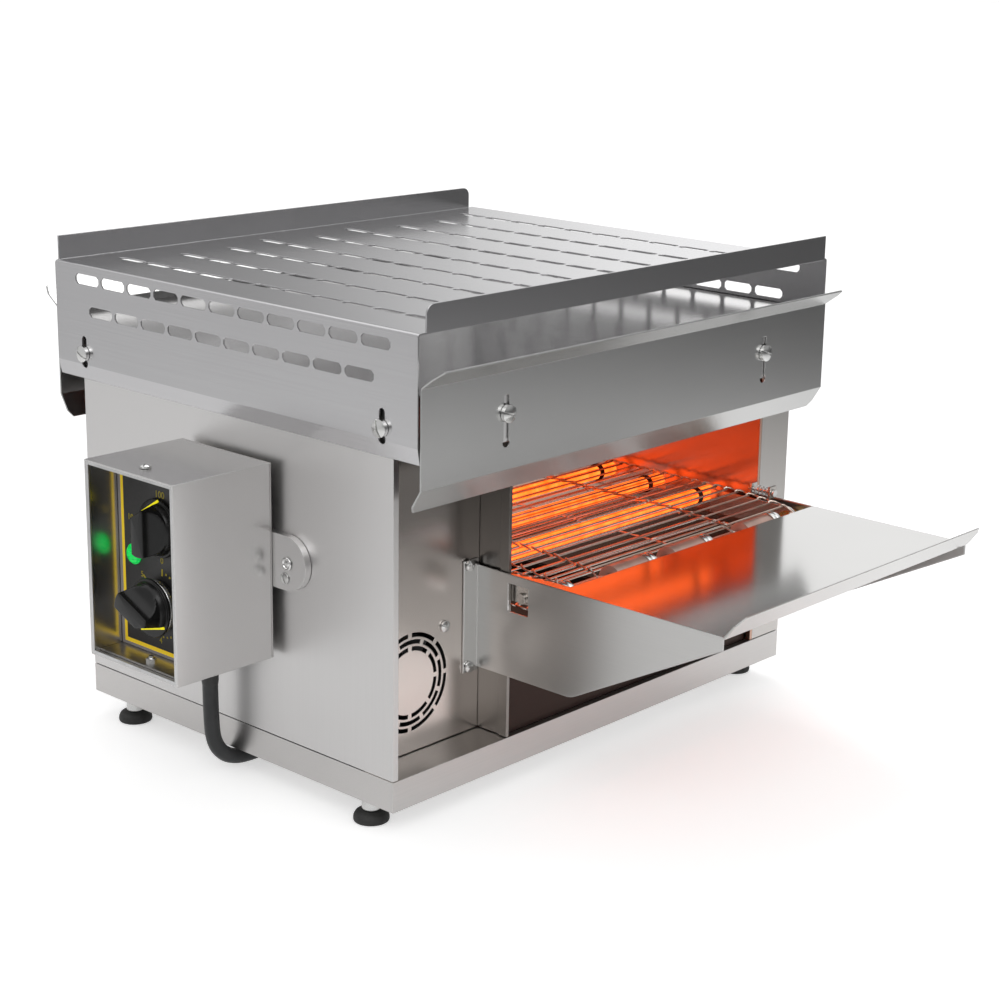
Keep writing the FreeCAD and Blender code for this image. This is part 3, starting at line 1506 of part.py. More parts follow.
def build_nodes():
    """All nodes by name, still in the machine frame."""
    (upper_y, upper_z, upper_angle), (lower_y, lower_z, lower_angle) = knob_places()
    return {
        "base_tray": base_tray(),
        "foot_pucks": feet_pucks(),
        "foot_studs": feet_studs(),
        "left_casing": left_casing(),
        "right_casing": right_casing(),
        "case_top_plate": case_top_plate(),
        "fan_panel": fan_panel(),
        "rear_panel": rear_panel(),
        "chamber_left_wall": chamber_left_wall(),
        "chamber_right_wall": chamber_right_wall(),
        "tension_tab": tension_tab(),
        "heat_reflector": reflector(),
        "upper_heater_tubes": heater_tubes(upper_tube_z),
        "lower_heater_tubes": heater_tubes(lower_tube_z),
        "heater_end_blocks": end_blocks(),
        "top_cover": top_cover(),
        "cover_screws": cover_screws(),
        "front_deflector": front_deflector(),
        "rear_deflector": mirror_y(front_deflector()),
        "deflector_screws": deflector_screws(),
        "wire_belt": wire_belt(),
        "front_axle": front_axle(),
        "front_bobbins": front_bobbins(),
        "left_arm": left_arm(),
        "right_arm": right_arm(),
        "front_bushes": front_bushes(),
        "tension_screw": tension_screw(),
        "tension_spring": tension_spring(),
        "drive_axle": drive_axle(),
        "drive_bobbins": drive_bobbins(),
        "drive_bushes": drive_bushes(),
        "drive_sprocket": drive_sprocket(),
        "motor_sprocket": motor_sprocket(),
        "drive_chain": chain_loop(),
        "gear_motor": gear_motor(),
        "motor_bracket": motor_bracket(),
        "toast_tray": toast_tray(),
        "tray_screws": tray_screws(),
        "crumb_tray": crumb_tray(),
        "fan_frame": fan_frame(),
        "fan_impeller": fan_impeller(),
        "fan_screws": fan_screws(),
        "control_box_hood": box_hood(),
        "control_box_back": box_back_plate(),
        "panel_carrier": panel_carrier(),
        "scale_plate": fascia_plate(),
        "upper_knob": knob(upper_y, upper_z, upper_angle),
        "lower_knob": knob(lower_y, lower_z, lower_angle, lower_grip_wall),
        "upper_spindle": spindle(upper_y, upper_z),
        "lower_spindle": spindle(lower_y, lower_z),
        "upper_switch": switch_body(upper_y, upper_z),
        "lower_switch": switch_body(lower_y, lower_z),
        "pilot_lamp": pilot_lamp(),
        "box_screws": box_screws(),
        "box_bracket": box_bracket(),
        "bracket_fixings": bracket_fixings(),
        "control_cable": control_cable(),
        "box_gland": box_gland(),
        "base_gland": base_gland(),
        "terminal_block": terminal_block(),
    }


def as_shape(piece):
    """A list of solids becomes one compound."""
    return Part.makeCompound(piece) if isinstance(piece, list) else piece


def machine_shift(shapes):
    """Vector that brings the whole machine's bottom centre to the origin."""
    whole = FreeCAD.BoundBox()
    for shape in shapes:
        whole.add(shape.BoundBox)
    return V(-(whole.XMin + whole.XMax) / 2, -(whole.YMin + whole.YMax) / 2, -whole.ZMin)


nodes = {name: as_shape(piece) for name, piece in build_nodes().items()}
shift = machine_shift(nodes.values())
os.makedirs("parts", exist_ok=True)
for name, shape in nodes.items():
    shape.translate(shift)
    shape.exportStep("parts/" + name + ".step")
print("nodes", len(nodes), "shift", [round(v, 3) for v in shift])
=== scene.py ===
"""Looks of a counter-top conveyor toaster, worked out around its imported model.

Sizes are millimetres in the machine's own frame: X runs right from the left side panel,
Y back from the front edge of the plinth and Z up from the table. place() moves points
into the shared frame in metres. New pieces are grids of points worked out as arrays.
"""
import math

import bmesh
import bpy
import numpy as np
from mathutils import Matrix


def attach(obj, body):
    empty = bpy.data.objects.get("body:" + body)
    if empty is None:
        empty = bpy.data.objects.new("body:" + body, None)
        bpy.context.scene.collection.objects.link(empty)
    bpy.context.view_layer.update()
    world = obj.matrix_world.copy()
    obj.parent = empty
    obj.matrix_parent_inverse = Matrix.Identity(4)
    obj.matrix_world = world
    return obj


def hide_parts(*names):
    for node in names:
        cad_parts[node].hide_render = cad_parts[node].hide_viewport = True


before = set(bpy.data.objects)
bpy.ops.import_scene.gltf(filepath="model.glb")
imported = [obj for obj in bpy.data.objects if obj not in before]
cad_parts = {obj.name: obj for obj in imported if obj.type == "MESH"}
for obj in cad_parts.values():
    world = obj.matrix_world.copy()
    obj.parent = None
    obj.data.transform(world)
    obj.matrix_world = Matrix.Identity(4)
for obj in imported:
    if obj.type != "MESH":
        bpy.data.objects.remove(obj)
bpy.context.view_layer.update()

SHIFT = np.array([-182.30, -88.15, 0.0])
X_WAY = np.array([1.0, 0.0, 0.0])
Y_WAY = np.array([0.0, 1.0, 0.0])
Z_WAY = np.array([0.0, 0.0, 1.0])

# Belt and rollers
AXLE_Z = 154.0
FRONT_AXLE_Y = -35.0
DRIVE_AXLE_Y = 313.0
BELT_LEFT = 121.8
BELT_WIDTH = 279.0
BELT_PITCH = 11.0
BELT_RADIUS = 13.0
BELT_RAMP = 40.0
BELT_TOP_Z = 170.3
FIRST_JOINT_SHARE = 0.137
SECOND_JOINT_SHARE = 0.708
STRAND_RADIUS = 0.8
STRAND_RISE = 1.5

ROLLER_ENDS = ((124.03, 136.03), (184.2, 229.1), (250.8, 296.9), (342.2, 384.62))
ROLLER_BORE = 5.2
NECK_RADIUS = 11.0
COLLAR_RADIUS = 11.9
COLLAR_LENGTH = 9.0

# Heater tubes
TUBE_PITCH = 53.0
TUBE_YS = 48.0 + TUBE_PITCH * np.arange(5)
TUBE_LEFT = 115.4
TUBE_LENGTH = 296.6
TUBE_RADIUS = 6.0
LOWER_TUBE_Z = 160.0
UPPER_TUBE_Z = 250.0
CLIP_XS = (136.0, 389.0)

# Screws; a head is its radius and height, a slot its width and depth with the head's dome
COVER_SCREW_YS = (7.0, 329.0)
COVER_SCREW_Z = 292.0
DEFLECTOR_SCREW_XS = (78.5, 371.5)
DEFLECTOR_SCREW_Z = 294.5
BIG_HEAD = (6.3, 4.6)
SMALL_HEAD = (4.2, 2.6)
SMALL_SLOT = (1.1, 1.0, 1.1)
BIG_SHANK = 2.4
SMALL_SHANK = 1.85

# Spring of the belt tensioner
COIL_FRONT_Y = -15.15
COIL_BACK_Y = -0.85
COIL_X = 407.8
COIL_Z = 172.6
COIL_RADIUS = 3.4
COIL_TURNS = 4.0

# Control box
PANEL_X = -65.8
BORDER_REAR_Y = 205.6
BORDER_LOW_Z = 111.8
BOX_MIDDLE_Y = 163.75
BOX_SCREW_X = -76.5
HOOD_FRONT_X = -91.9
HOOD_OPENING = (115.5, 212.0, 105.0, 248.0)
LAMP_PLACE = np.array([-66.1, 192.75, 178.0])

# Knobs; a cut is the way from the axis to the facet
KNOB_FOOT_X = -66.6
KNOB_LINE_X = -69.2
KNOB_LINE_HALF = (13.4, 0.85)
KNOB_WALL = 8.2
UPPER_KNOB_Z = 203.0
UPPER_POINTING = math.radians(32.0)
UPPER_CUT = 15.0
LOWER_KNOB_Z = 147.0
LOWER_POINTING = math.radians(194.0)
LOWER_CUT = 13.4
LOWER_TURN = math.radians(66.0)

# Ticks round the lower knob, in degrees and millimetres
TICK_RING = 23.8
TICK_STEP = 10.3
FIRST_TICK = -3.0
LONG_TICK_HALF = 2.6
SHORT_TICK_HALF = 0.7
TICK_HALF_WIDTH = 0.65

# Feet
FOOT_XS = (12.0, 438.0)
FOOT_YS = (34.0, 302.0)
PAD_TOP_Z = 8.45

# Floor and sky, in metres and strengths
FLOOR_REACH = 14.0
SKY = 0.62
NEAR_FLOOR = 0.45
FAR_FLOOR = 1.75

# Cable
CABLE_POINTS = np.array([
    (-18.0, 172.0, 75.0), (-18.0, 172.0, 50.0), (-16.0, 172.0, 25.0), (-2.0, 171.5, 10.5),
    (22.0, 170.0, 8.6), (44.0, 167.0, 14.0), (62.0, 165.0, 26.0), (84.0, 165.0, 26.0)])
CABLE_DIAMETER = 11.6


def place(points):
    """Machine millimetres to metres in the shared frame: (point + shift) / 1000."""
    return (np.asarray(points, dtype=float) + SHIFT) / 1000.0


# Camera


def photo_camera():
    """Camera at the photograph's angle: yaw from +Y towards +X, then pitch down, then roll."""
    yaw, pitch, roll = (math.radians(a) for a in (48.49, -15.19, 1.22))
    forward = np.array([math.sin(yaw) * math.cos(pitch), math.cos(yaw) * math.cos(pitch), math.sin(pitch)])
    right = np.array([math.cos(yaw), -math.sin(yaw), 0.0])
    up = np.cross(right, forward)
    side = math.cos(roll) * right + math.sin(roll) * up
    top = math.cos(roll) * up - math.sin(roll) * right
    data = bpy.data.cameras.new("photo_camera")
    data.sensor_width = 36.0
    data.lens = 74.92
    data.shift_x = -0.0430
    data.shift_y = -0.0214
    data.clip_start = 0.05
    data.clip_end = 60.0
    camera = bpy.data.objects.new("photo_camera", data)
    bpy.context.scene.collection.objects.link(camera)
    axes = np.eye(4)
    axes[:3, 0] = side
    axes[:3, 1] = top
    axes[:3, 2] = -forward
    axes[:3, 3] = place((-924.3, -949.4, 619.1))
    camera.matrix_world = Matrix(axes.tolist())
    bpy.context.scene.camera = camera


# Materials


class NodeCalls:
    """Short calls that make and join the nodes of one tree."""

    def __init__(self, tree):
        self.nodes = tree.nodes
        self.links = tree.links

    def node(self, kind, **settings):
        """A new node with its settings."""
        made = self.nodes.new(kind)
        for key, value in settings.items():
            setattr(made, key, value)
        return made

    def join(self, source, target):
        self.links.new(source, target)

    def place_on(self, scale=(1, 1, 1)):
        """Object coordinates, scaled per axis."""
        coordinates = self.node("ShaderNodeTexCoord")
        mapping = self.node("ShaderNodeMapping")
        mapping.inputs["Scale"].default_value = scale
        self.join(coordinates.outputs["Object"], mapping.inputs["Vector"])
        return mapping.outputs["Vector"]

    def axes(self, vector):
        """X, Y and Z of a vector."""
        made = self.node("ShaderNodeSeparateXYZ")
        self.join(vector, made.inputs[0])
        return made.outputs

    def noise(self, where, scale, detail, rough, bend=0.0):
        """Cloudy noise from 0 to 1."""
        made = self.node("ShaderNodeTexNoise")
        for key, value in (("Scale", scale), ("Detail", detail), ("Roughness", rough), ("Distortion", bend)):
            made.inputs[key].default_value = value
        self.join(where, made.inputs["Vector"])
        return made.outputs["Fac"]

    def spread(self, value, low, high, start=0.3, end=0.7, ease="LINEAR"):
        """Value from start..end stretched to low..high."""
        made = self.node("ShaderNodeMapRange", interpolation_type=ease)
        for key, number in (("From Min", start), ("From Max", end), ("To Min", low), ("To Max", high)):
            made.inputs[key].default_value = number
        self.join(value, made.inputs["Value"])
        return made.outputs["Result"]

    def blend(self, share, first, second):
        """Mix of two colours by a share; a colour may be a socket."""
        made = self.node("ShaderNodeMix", data_type="RGBA")
        for key, colour in ((6, first), (7, second)):
            if hasattr(colour, "is_linked"):
                self.join(colour, made.inputs[key])
            else:
                made.inputs[key].default_value = (*colour, 1.0)
        self.join(share, made.inputs[0])
        return made.outputs[2]

    def sum(self, operation, first, second=0.0):
        """One sum on two values, each a number or a socket."""
        made = self.node("ShaderNodeMath", operation=operation)
        for key, value in ((0, first), (1, second)):
            if hasattr(value, "is_linked"):
                self.join(value, made.inputs[key])
            else:
                made.inputs[key].default_value = value
        return made.outputs[0]


class Finish(NodeCalls):
    """A node material around one Principled shader."""

    def __init__(self, name, **sockets):
        self.material = bpy.data.materials.new(name)
        self.material.use_nodes = True
        super().__init__(self.material.node_tree)
        self.shader = self.nodes["Principled BSDF"]
        for socket, value in sockets.items():
            self.shader.inputs[socket.replace("_", " ")].default_value = value

    def drive(self, socket, value):
        """Feeds one input of the shader."""
        self.join(value, self.shader.inputs[socket])

    def relief(self, height, depth, strength=1.0, edge=0.0):
        """Bump from a height, over edges softened by a small radius."""
        bump = self.node("ShaderNodeBump")
        bump.inputs["Distance"].default_value = depth
        bump.inputs["Strength"].default_value = strength
        self.join(height, bump.inputs["Height"])
        if edge:
            soft = self.node("ShaderNodeBevel", samples=4)
            soft.inputs["Radius"].default_value = edge
            self.join(soft.outputs["Normal"], bump.inputs["Normal"])
        self.join(bump.outputs["Normal"], self.shader.inputs["Normal"])


def grain_scale(along, fine=1500.0, slow=9.0):
    """Noise scale that draws long hairlines along one axis."""
    return tuple(slow if axis == along else fine for axis in "XYZ")


def brushed_sheet(name, colour, rough=0.3, along="X", grain=0.03, cloud=0.04, edge=0.0007, cheek_rough=0.0,
                  painted_shading_by_height=None):
    """Brushed sheet: hairlines along one axis, soft clouds, and slightly rounded edges.

    cheek_rough, when given, is added to the roughness of faces that look along X. The last argument, when
    given,
    is (low height, high height, share): painted light and shade by height, the colour fading to that share of
    itself between them, darker for a share under 1 and lighter over 1.
    """
    made = Finish(name, Metallic=1.0)
    hair = made.noise(made.place_on(grain_scale(along)), 1.0, 2.0, 0.6)
    soft = made.noise(made.place_on((7.0, 7.0, 7.0)), 1.0, 2.0, 0.5, 0.4)
    dark = tuple(c * (1 - grain) for c in colour)
    light = tuple(min(1.0, c * (1 + grain)) for c in colour)
    lines = made.blend(made.spread(hair, 0.0, 1.0, 0.35, 0.65), dark, light)
    shade = tuple(c * (1 - 2 * cloud) for c in colour)
    whole = made.blend(made.spread(soft, 0.0, 0.5, 0.35, 0.75), lines, shade)
    # Painted light and shade by height: the colour is scaled by the share going up, darker under 1 and
    # lighter over 1.
    if painted_shading_by_height:
        height = made.axes(made.place_on())[2]
        rise = made.spread(height, 0.0, 1.0, painted_shading_by_height[0] / 1000.0, painted_shading_by_height[1] / 1000.0)
        whole = made.blend(rise, whole, tuple(min(1.0, c * painted_shading_by_height[2]) for c in colour))
    made.drive("Base Color", whole)
    haze = made.spread(hair, rough - 0.006, rough + 0.010, 0.35, 0.65)
    if cheek_rough:
        facing = made.axes(made.node("ShaderNodeNewGeometry").outputs["Normal"])
        side = made.sum("ABSOLUTE", facing[0])
        haze = made.sum("ADD", haze, made.spread(side, 0.0, cheek_rough, 0.6, 0.9))
    made.drive("Roughness", haze)
    made.relief(hair, 0.000005, 0.1, edge)
    return made.material


def polished_metal(name, colour, rough=0.16, edge=0.0003):
    """Bright turned metal with faint smears."""
    made = Finish(name, Metallic=1.0)
    smear = made.noise(made.place_on((60.0, 60.0, 60.0)), 1.0, 3.0, 0.6)
    dark = tuple(c * 0.82 for c in colour)
    made.drive("Base Color", made.blend(made.spread(smear, 0.0, 1.0), colour, dark))
    made.drive("Roughness", made.spread(smear, rough, rough + 0.12))
    made.relief(smear, 0.00002, 0.3, edge)
    return made.material


def moulded_plastic(name, colour, rough=0.42, scale=900.0, depth=0.00003, edge=0.0004):
    """Moulded plastic or rubber with a fine even grain."""
    made = Finish(name)
    pores = made.noise(made.place_on((scale, scale, scale)), 1.0, 2.0, 0.5)
    wear = made.noise(made.place_on((40.0, 40.0, 40.0)), 1.0, 3.0, 0.6)
    light = tuple(min(1.0, c * 1.6 + 0.01) for c in colour)
    made.drive("Base Color", made.blend(made.spread(wear, 0.0, 0.6), colour, light))
    made.drive("Roughness", made.spread(pores, rough - 0.06, rough + 0.08))
    made.relief(pores, depth, 0.5, edge)
    return made.material


def glossy_moulding(name, colour):
    """Glossy moulded plastic with faint finger marks and softened edges."""
    made = Finish(name, Specular_IOR_Level=0.32)
    smear = made.noise(made.place_on((70.0, 70.0, 70.0)), 1.0, 2.0, 0.5)
    light = tuple(c * 1.5 for c in colour)
    made.drive("Base Color", made.blend(made.spread(smear, 0.0, 0.6), colour, light))
    made.drive("Roughness", made.spread(smear, 0.20, 0.27))
    made.relief(smear, 0.00001, 0.1, 0.0006)
    return made.material


def heated_wire(name):
    """Belt wire: bright steel turned straw and brown by heat, in long patches."""
    made = Finish(name, Metallic=1.0)
    patch = made.noise(made.place_on((22.0, 60.0, 60.0)), 1.0, 3.0, 0.6)
    fine = made.noise(made.place_on((500.0, 900.0, 900.0)), 1.0, 2.0, 0.5)
    colour = made.blend(made.spread(patch, 0.0, 1.0), (0.84, 0.77, 0.72), (0.52, 0.38, 0.30))
    stained = made.blend(made.spread(fine, 0.0, 0.30), colour, (0.26, 0.18, 0.14))
    made.drive("Base Color", stained)
    made.drive("Roughness", made.spread(patch, 0.22, 0.38))
    made.relief(fine, 0.00002, 0.4)
    return made.material


def heated_steel(name, colour):
    """Satin steel browned by heat."""
    made = Finish(name, Metallic=0.45, Roughness=0.36)
    patch = made.noise(made.place_on((70.0, 40.0, 40.0)), 1.0, 3.0, 0.6)
    dark = tuple(c * 0.7 for c in colour)
    made.drive("Base Color", made.blend(made.spread(patch, 0.0, 1.0), colour, dark))
    made.relief(patch, 0.00002, 0.2)
    return made.material


def glowing_tube(name, centre_y, centre_z):
    """Lit quartz tube: bands round it by angle, uneven along it; other pieces get redder light."""
    made = Finish(name, Roughness=0.25)
    where = made.axes(made.place_on())
    half = TUBE_PITCH / 2000.0
    step = made.sum("SUBTRACT", where[1], centre_y - half)
    step = made.sum("SUBTRACT", made.sum("PINGPONG", step, half), half)
    rise = made.sum("SUBTRACT", where[2], centre_z)
    angle = made.sum("ARCTAN2", rise, made.sum("ABSOLUTE", step))
    ribs = made.sum("SINE", made.sum("MULTIPLY", angle, 7.0))
    coil = made.noise(made.place_on((90.0, 5.0, 5.0)), 1.0, 3.0, 0.6)
    bands = made.spread(ribs, 0.0, 1.0, -0.95, -0.55)
    hot = made.blend(made.spread(coil, 0.0, 1.0, 0.35, 0.65), (1.0, 0.115, 0.008), (1.0, 0.21, 0.026))
    colour = made.blend(bands, (0.78, 0.028, 0.002), hot)
    made.shader.inputs["Base Color"].default_value = (0.25, 0.06, 0.02, 1.0)
    seen = made.node("ShaderNodeLightPath")
    made.drive("Emission Color", made.blend(seen.outputs["Is Camera Ray"], (1.0, 0.12, 0.018), colour))
    made.shader.inputs["Emission Strength"].default_value = 2.2
    made.relief(coil, 0.0001, 0.2)
    return made.material


def scale_panel_finish(name):
    """Dark printed panel: satin black with a yellow border along its rear and lower edges; the border has a
    painted glow of its own.
    """
    made = Finish(name)
    across, height = made.axes(made.place_on())[1:3]
    rear = place((PANEL_X, BORDER_REAR_Y, 0))[1]
    low = place((0, 0, BORDER_LOW_Z))[2]
    half = 0.0015
    upright = made.sum("LESS_THAN", made.sum("ABSOLUTE", made.sum("SUBTRACT", across, rear)), half)
    level = made.sum("LESS_THAN", made.sum("ABSOLUTE", made.sum("SUBTRACT", height, low)), half)
    above = made.sum("GREATER_THAN", height, low - half)
    before = made.sum("LESS_THAN", across, rear + half)
    border = made.sum("MAXIMUM", made.sum("MULTIPLY", upright, above), made.sum("MULTIPLY", level, before))
    beyond = made.sum("MAXIMUM", made.sum("GREATER_THAN", across, rear + half),
                      made.sum("LESS_THAN", height, low - half))
    grain = made.noise(made.place_on((700.0, 700.0, 700.0)), 1.0, 2.0, 0.5)
    black = made.blend(made.spread(grain, 0.0, 1.0), (0.026, 0.026, 0.026), (0.040, 0.038, 0.038))
    trimmed = made.blend(beyond, black, (0.36, 0.34, 0.34))
    made.drive("Base Color", made.blend(border, trimmed, (1.0, 0.70, 0.03)))
    # Painted light: the yellow border glows a little, though it is only print.
    made.drive("Emission Color", made.blend(border, (0.0, 0.0, 0.0), (1.0, 0.66, 0.02)))
    made.shader.inputs["Emission Strength"].default_value = 0.22
    made.drive("Roughness", made.spread(grain, 0.34, 0.46))
    made.relief(grain, 0.00002, 0.3)
    return made.material


def yellow_print(name, colour, glow):
    """Yellow print with faint uneven ink; a little light of its own keeps it clear in the hood's shade."""
    made = Finish(name, Roughness=0.5, Emission_Strength=glow)
    ink = made.noise(made.place_on((800.0, 800.0, 800.0)), 1.0, 2.0, 0.6)
    worn = tuple(c * 0.85 for c in colour)
    shade = made.blend(made.spread(ink, 0.0, 1.0), colour, worn)
    made.drive("Base Color", shade)
    made.drive("Emission Color", shade)
    return made.material


def lamp_lens(name):
    """Lit green lens with fine ribs across it."""
    made = Finish(name, Roughness=0.2)
    ribs = made.noise(made.place_on((200.0, 200.0, 1400.0)), 1.0, 1.0, 0.4)
    share = made.spread(ribs, 0.0, 1.0)
    made.drive("Base Color", made.blend(share, (0.0, 0.60, 0.09), (0.0, 0.38, 0.07)))
    made.drive("Emission Color", made.blend(share, (0.0, 0.52, 0.07), (0.0, 0.36, 0.05)))
    made.shader.inputs["Emission Strength"].default_value = 0.9
    made.relief(ribs, 0.0001, 0.3)
    return made.material


def fired_ceramic(name):
    """Off-white ceramic, slightly stained."""
    made = Finish(name, Roughness=0.7)
    stain = made.noise(made.place_on((80.0, 80.0, 80.0)), 1.0, 4.0, 0.6)
    made.drive("Base Color", made.blend(made.spread(stain, 0.0, 1.0), (0.72, 0.68, 0.60), (0.45, 0.38, 0.30)))
    made.relief(stain, 0.0001, 0.3)
    return made.material


# Shapes worked out as arrays


def grid_quads(rows, cols, close_rows, close_cols, first):
    """Quads of a numbered grid, wrapped round where a direction is closed."""
    r, c = np.meshgrid(np.arange(rows if close_rows else rows - 1),
                       np.arange(cols if close_cols else cols - 1), indexing="ij")
    r2 = (r + 1) % rows
    c2 = (c + 1) % cols
    quads = np.stack([r * cols + c, r2 * cols + c, r2 * cols + c2, r * cols + c2], axis=-1)
    return first + quads.reshape(-1, 4)


def piece(name, grids, body, finish, stands_for=(), sharp=35.0):
    """One object from grids (points, rows closed, columns closed); seams and poles are merged."""
    points = []
    quads = []
    count = 0
    for grid, close_rows, close_cols in grids:
        rows, cols = grid.shape[:2]
        points.append(grid.reshape(-1, 3))
        quads.append(grid_quads(rows, cols, close_rows, close_cols, count))
        count += rows * cols
    mesh = bpy.data.meshes.new(name)
    mesh.from_pydata(place(np.concatenate(points)).tolist(), [], np.concatenate(quads).tolist())
    shell = bmesh.new()
    shell.from_mesh(mesh)
    bmesh.ops.remove_doubles(shell, verts=shell.verts, dist=0.000002)
    bmesh.ops.recalc_face_normals(shell, faces=shell.faces)
    shell.to_mesh(mesh)
    shell.free()
    mesh.shade_smooth()
    mesh.set_sharp_from_angle(angle=math.radians(sharp))
    return settle(name, mesh, body, finish, stands_for)


def settle(name, mesh, body, finish, stands_for=()):
    """Links a mesh as one finished piece of a body."""
    made = bpy.data.objects.new(name, mesh)
    bpy.context.scene.collection.objects.link(made)
    mesh.materials.clear()
    mesh.materials.append(finish)
    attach(made, body)
    if stands_for:
        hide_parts(*stands_for)
    return made


def dress(node, finish):
    """Gives a CAD node its one finish."""
    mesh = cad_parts[node].data
    mesh.materials.clear()
    mesh.materials.append(finish)


def ways_across(axis):
    """Two unit ways square to an axis and to each other."""
    u = np.cross(axis, Z_WAY if abs(axis[2]) < 0.9 else X_WAY)
    u = u / np.linalg.norm(u)
    return u, np.cross(axis, u)


def turned(profile, start, axis, sides=40):
    """Lathe: start + height * axis + radius * (cos a * u + sin a * w), for (radius, height) points."""
    profile = np.asarray(profile, dtype=float)
    u, w = ways_across(axis)
    a = np.arange(sides) * 2 * math.pi / sides
    ring = np.cos(a)[:, None] * u + np.sin(a)[:, None] * w
    points = np.asarray(start) + profile[:, 1, None, None] * axis + profile[:, 0, None, None] * ring[None]
    return (points, False, True)


def round_bar(paths, radius, up, sides=8):
    """Tubes about paths (K, N, 3): point + radius * (cos a * side + sin a * over), ends closed."""
    paths = np.asarray(paths, dtype=float)
    way = np.gradient(paths, axis=1)
    way = way / np.linalg.norm(way, axis=-1, keepdims=True)
    side = np.cross(np.broadcast_to(up, way.shape), way)
    side = side / np.linalg.norm(side, axis=-1, keepdims=True)
    over = np.cross(way, side)
    a = np.arange(sides) * 2 * math.pi / sides
    ring = np.cos(a)[:, None] * side[:, :, None] + np.sin(a)[:, None] * over[:, :, None]
    body = paths[:, :, None] + radius * ring
    first = np.repeat(paths[:, :1, None], sides, axis=2)
    last = np.repeat(paths[:, -1:, None], sides, axis=2)
    return [(grid, False, True) for grid in np.concatenate([first, body, last], axis=1)]


def rounded_profile(corners, cut):
    """(radius, height) profile with its inner corners cut twice for a soft edge."""
    line = np.asarray(corners, dtype=float)
    for share in (cut, 0.25):
        before = line[1:-1] + (line[:-2] - line[1:-1]) * share
        after = line[1:-1] + (line[2:] - line[1:-1]) * share
        line = np.concatenate([line[:1], np.stack([before, after], axis=1).reshape(-1, 2), line[-1:]])
    return line


def domed_head(place_at, out, radius, height, slot_turn, slot=1.5, deep=1.6, dome=1.6):
    """Slotted pan head: rise = height - dome * r^2, less the slot's depth between its walls."""
    u, w = ways_across(out)
    across = math.cos(slot_turn) * u + math.sin(slot_turn) * w
    along = math.cos(slot_turn) * w - math.sin(slot_turn) * u
    s = slot / 2 / radius
    left = -np.cos(np.linspace(0.0, math.pi / 2, 7))[:-1]
    left = left[left < -s - 0.03]
    x = np.concatenate([left, [-s, -s, s, s], -left[::-1]])
    low = np.zeros(len(x))
    low[len(left) + 1:len(left) + 3] = deep
    v = np.concatenate([[-1.0, -1.0], np.linspace(-1.0, 1.0, 11)[1:-1], [1.0, 1.0]])
    foot = np.ones(len(v))
    foot[0] = foot[-1] = 0.0
    y = v[:, None] * np.sqrt(np.clip(1 - x ** 2, 0.0, 1.0))[None]
    r2 = x[None] ** 2 + y ** 2
    rise = np.maximum(height - dome * r2 - low[None], 0.4) * foot[:, None]
    base = place_at + radius * (x[None, :, None] * across + y[..., None] * along)
    top = base + rise[..., None] * out
    return [(top, False, False), (base[1:-1], False, False)]


def screw_shank(place_at, inwards, radius, length):
    """Plain shank under a head."""
    return [turned([(0, -0.2), (radius, -0.2), (radius, length), (0, length)], place_at, inwards, 16)]


def flat_plate(corners, way, depth):
    """Closed plate: a polygon of points carried along way by depth."""
    ring = np.asarray(corners, dtype=float)
    way = np.asarray(way, dtype=float)
    middle = np.repeat(ring.mean(axis=0)[None], len(ring), axis=0)
    return (np.stack([middle, ring, ring + way * depth, middle + way * depth]), False, True)


# Control cable


def control_cable(finish):
    """Cable from the control box into the plinth: a smooth NURBS line on the route's points."""
    data = bpy.data.curves.new("control_cable_line", "CURVE")
    data.dimensions = "3D"
    data.bevel_depth = CABLE_DIAMETER / 2000.0
    data.bevel_resolution = 6
    data.resolution_u = 24
    data.use_fill_caps = True
    spline = data.splines.new("NURBS")
    spline.points.add(len(CABLE_POINTS) - 1)
    weighted = np.column_stack([place(CABLE_POINTS), np.ones(len(CABLE_POINTS))])
    spline.points.foreach_set("co", weighted.ravel())
    spline.order_u = 3
    spline.use_endpoint_u = True
    data.materials.append(finish)
    cable = bpy.data.objects.new("control_cable_lead", data)
    bpy.context.scene.collection.objects.link(cable)
    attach(cable, "machine")
    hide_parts("control_cable")
    return cable


def cable_sleeve(finish):
    """Gland body and domed nut under the box, and a short tapered sleeve on the cable below it."""
    body = rounded_profile([(0, 0), (10.4, 0), (10.4, 8.6), (11.5, 9.0), (11.5, 15.6), (10.9, 18.0),
                            (9.2, 20.4), (7.0, 21.2), (6.5, 21.4), (6.1, 33.0), (0, 33.0)], 0.16)
    x, y = CABLE_POINTS[0][:2]
    return piece("cable_sleeve", [turned(body, (x, y, 104.7), -Z_WAY, 36)], "machine", finish,
                 ("box_gland",))


# Belt


def belt_line(distance, pitch_line):
    """(Y, Z) points on the closed belt line at distances along it."""
    reach, line = pitch_line
    d = np.mod(distance, reach[-1])
    return np.stack([np.interp(d, reach, line[:, 0]), np.interp(d, reach, line[:, 1])], axis=-1)


def belt_outline():
    """(Y, Z) of the belt's middle line: ramps on top, a half circle at each axle, flat below."""
    r = BELT_RADIUS
    a = np.linspace(0.0, math.pi, 41)
    top = np.array([(FRONT_AXLE_Y, AXLE_Z + r), (FRONT_AXLE_Y + BELT_RAMP, BELT_TOP_Z),
                    (DRIVE_AXLE_Y - BELT_RAMP, BELT_TOP_Z)])
    back = np.column_stack([DRIVE_AXLE_Y + r * np.sin(a), AXLE_Z + r * np.cos(a)])
    front = np.column_stack([FRONT_AXLE_Y - r * np.sin(a), AXLE_Z - r * np.cos(a)])
    line = np.concatenate([top, back, front])
    reach = np.concatenate([[0.0], np.cumsum(np.linalg.norm(np.diff(line, axis=0), axis=1))])
    return reach, line


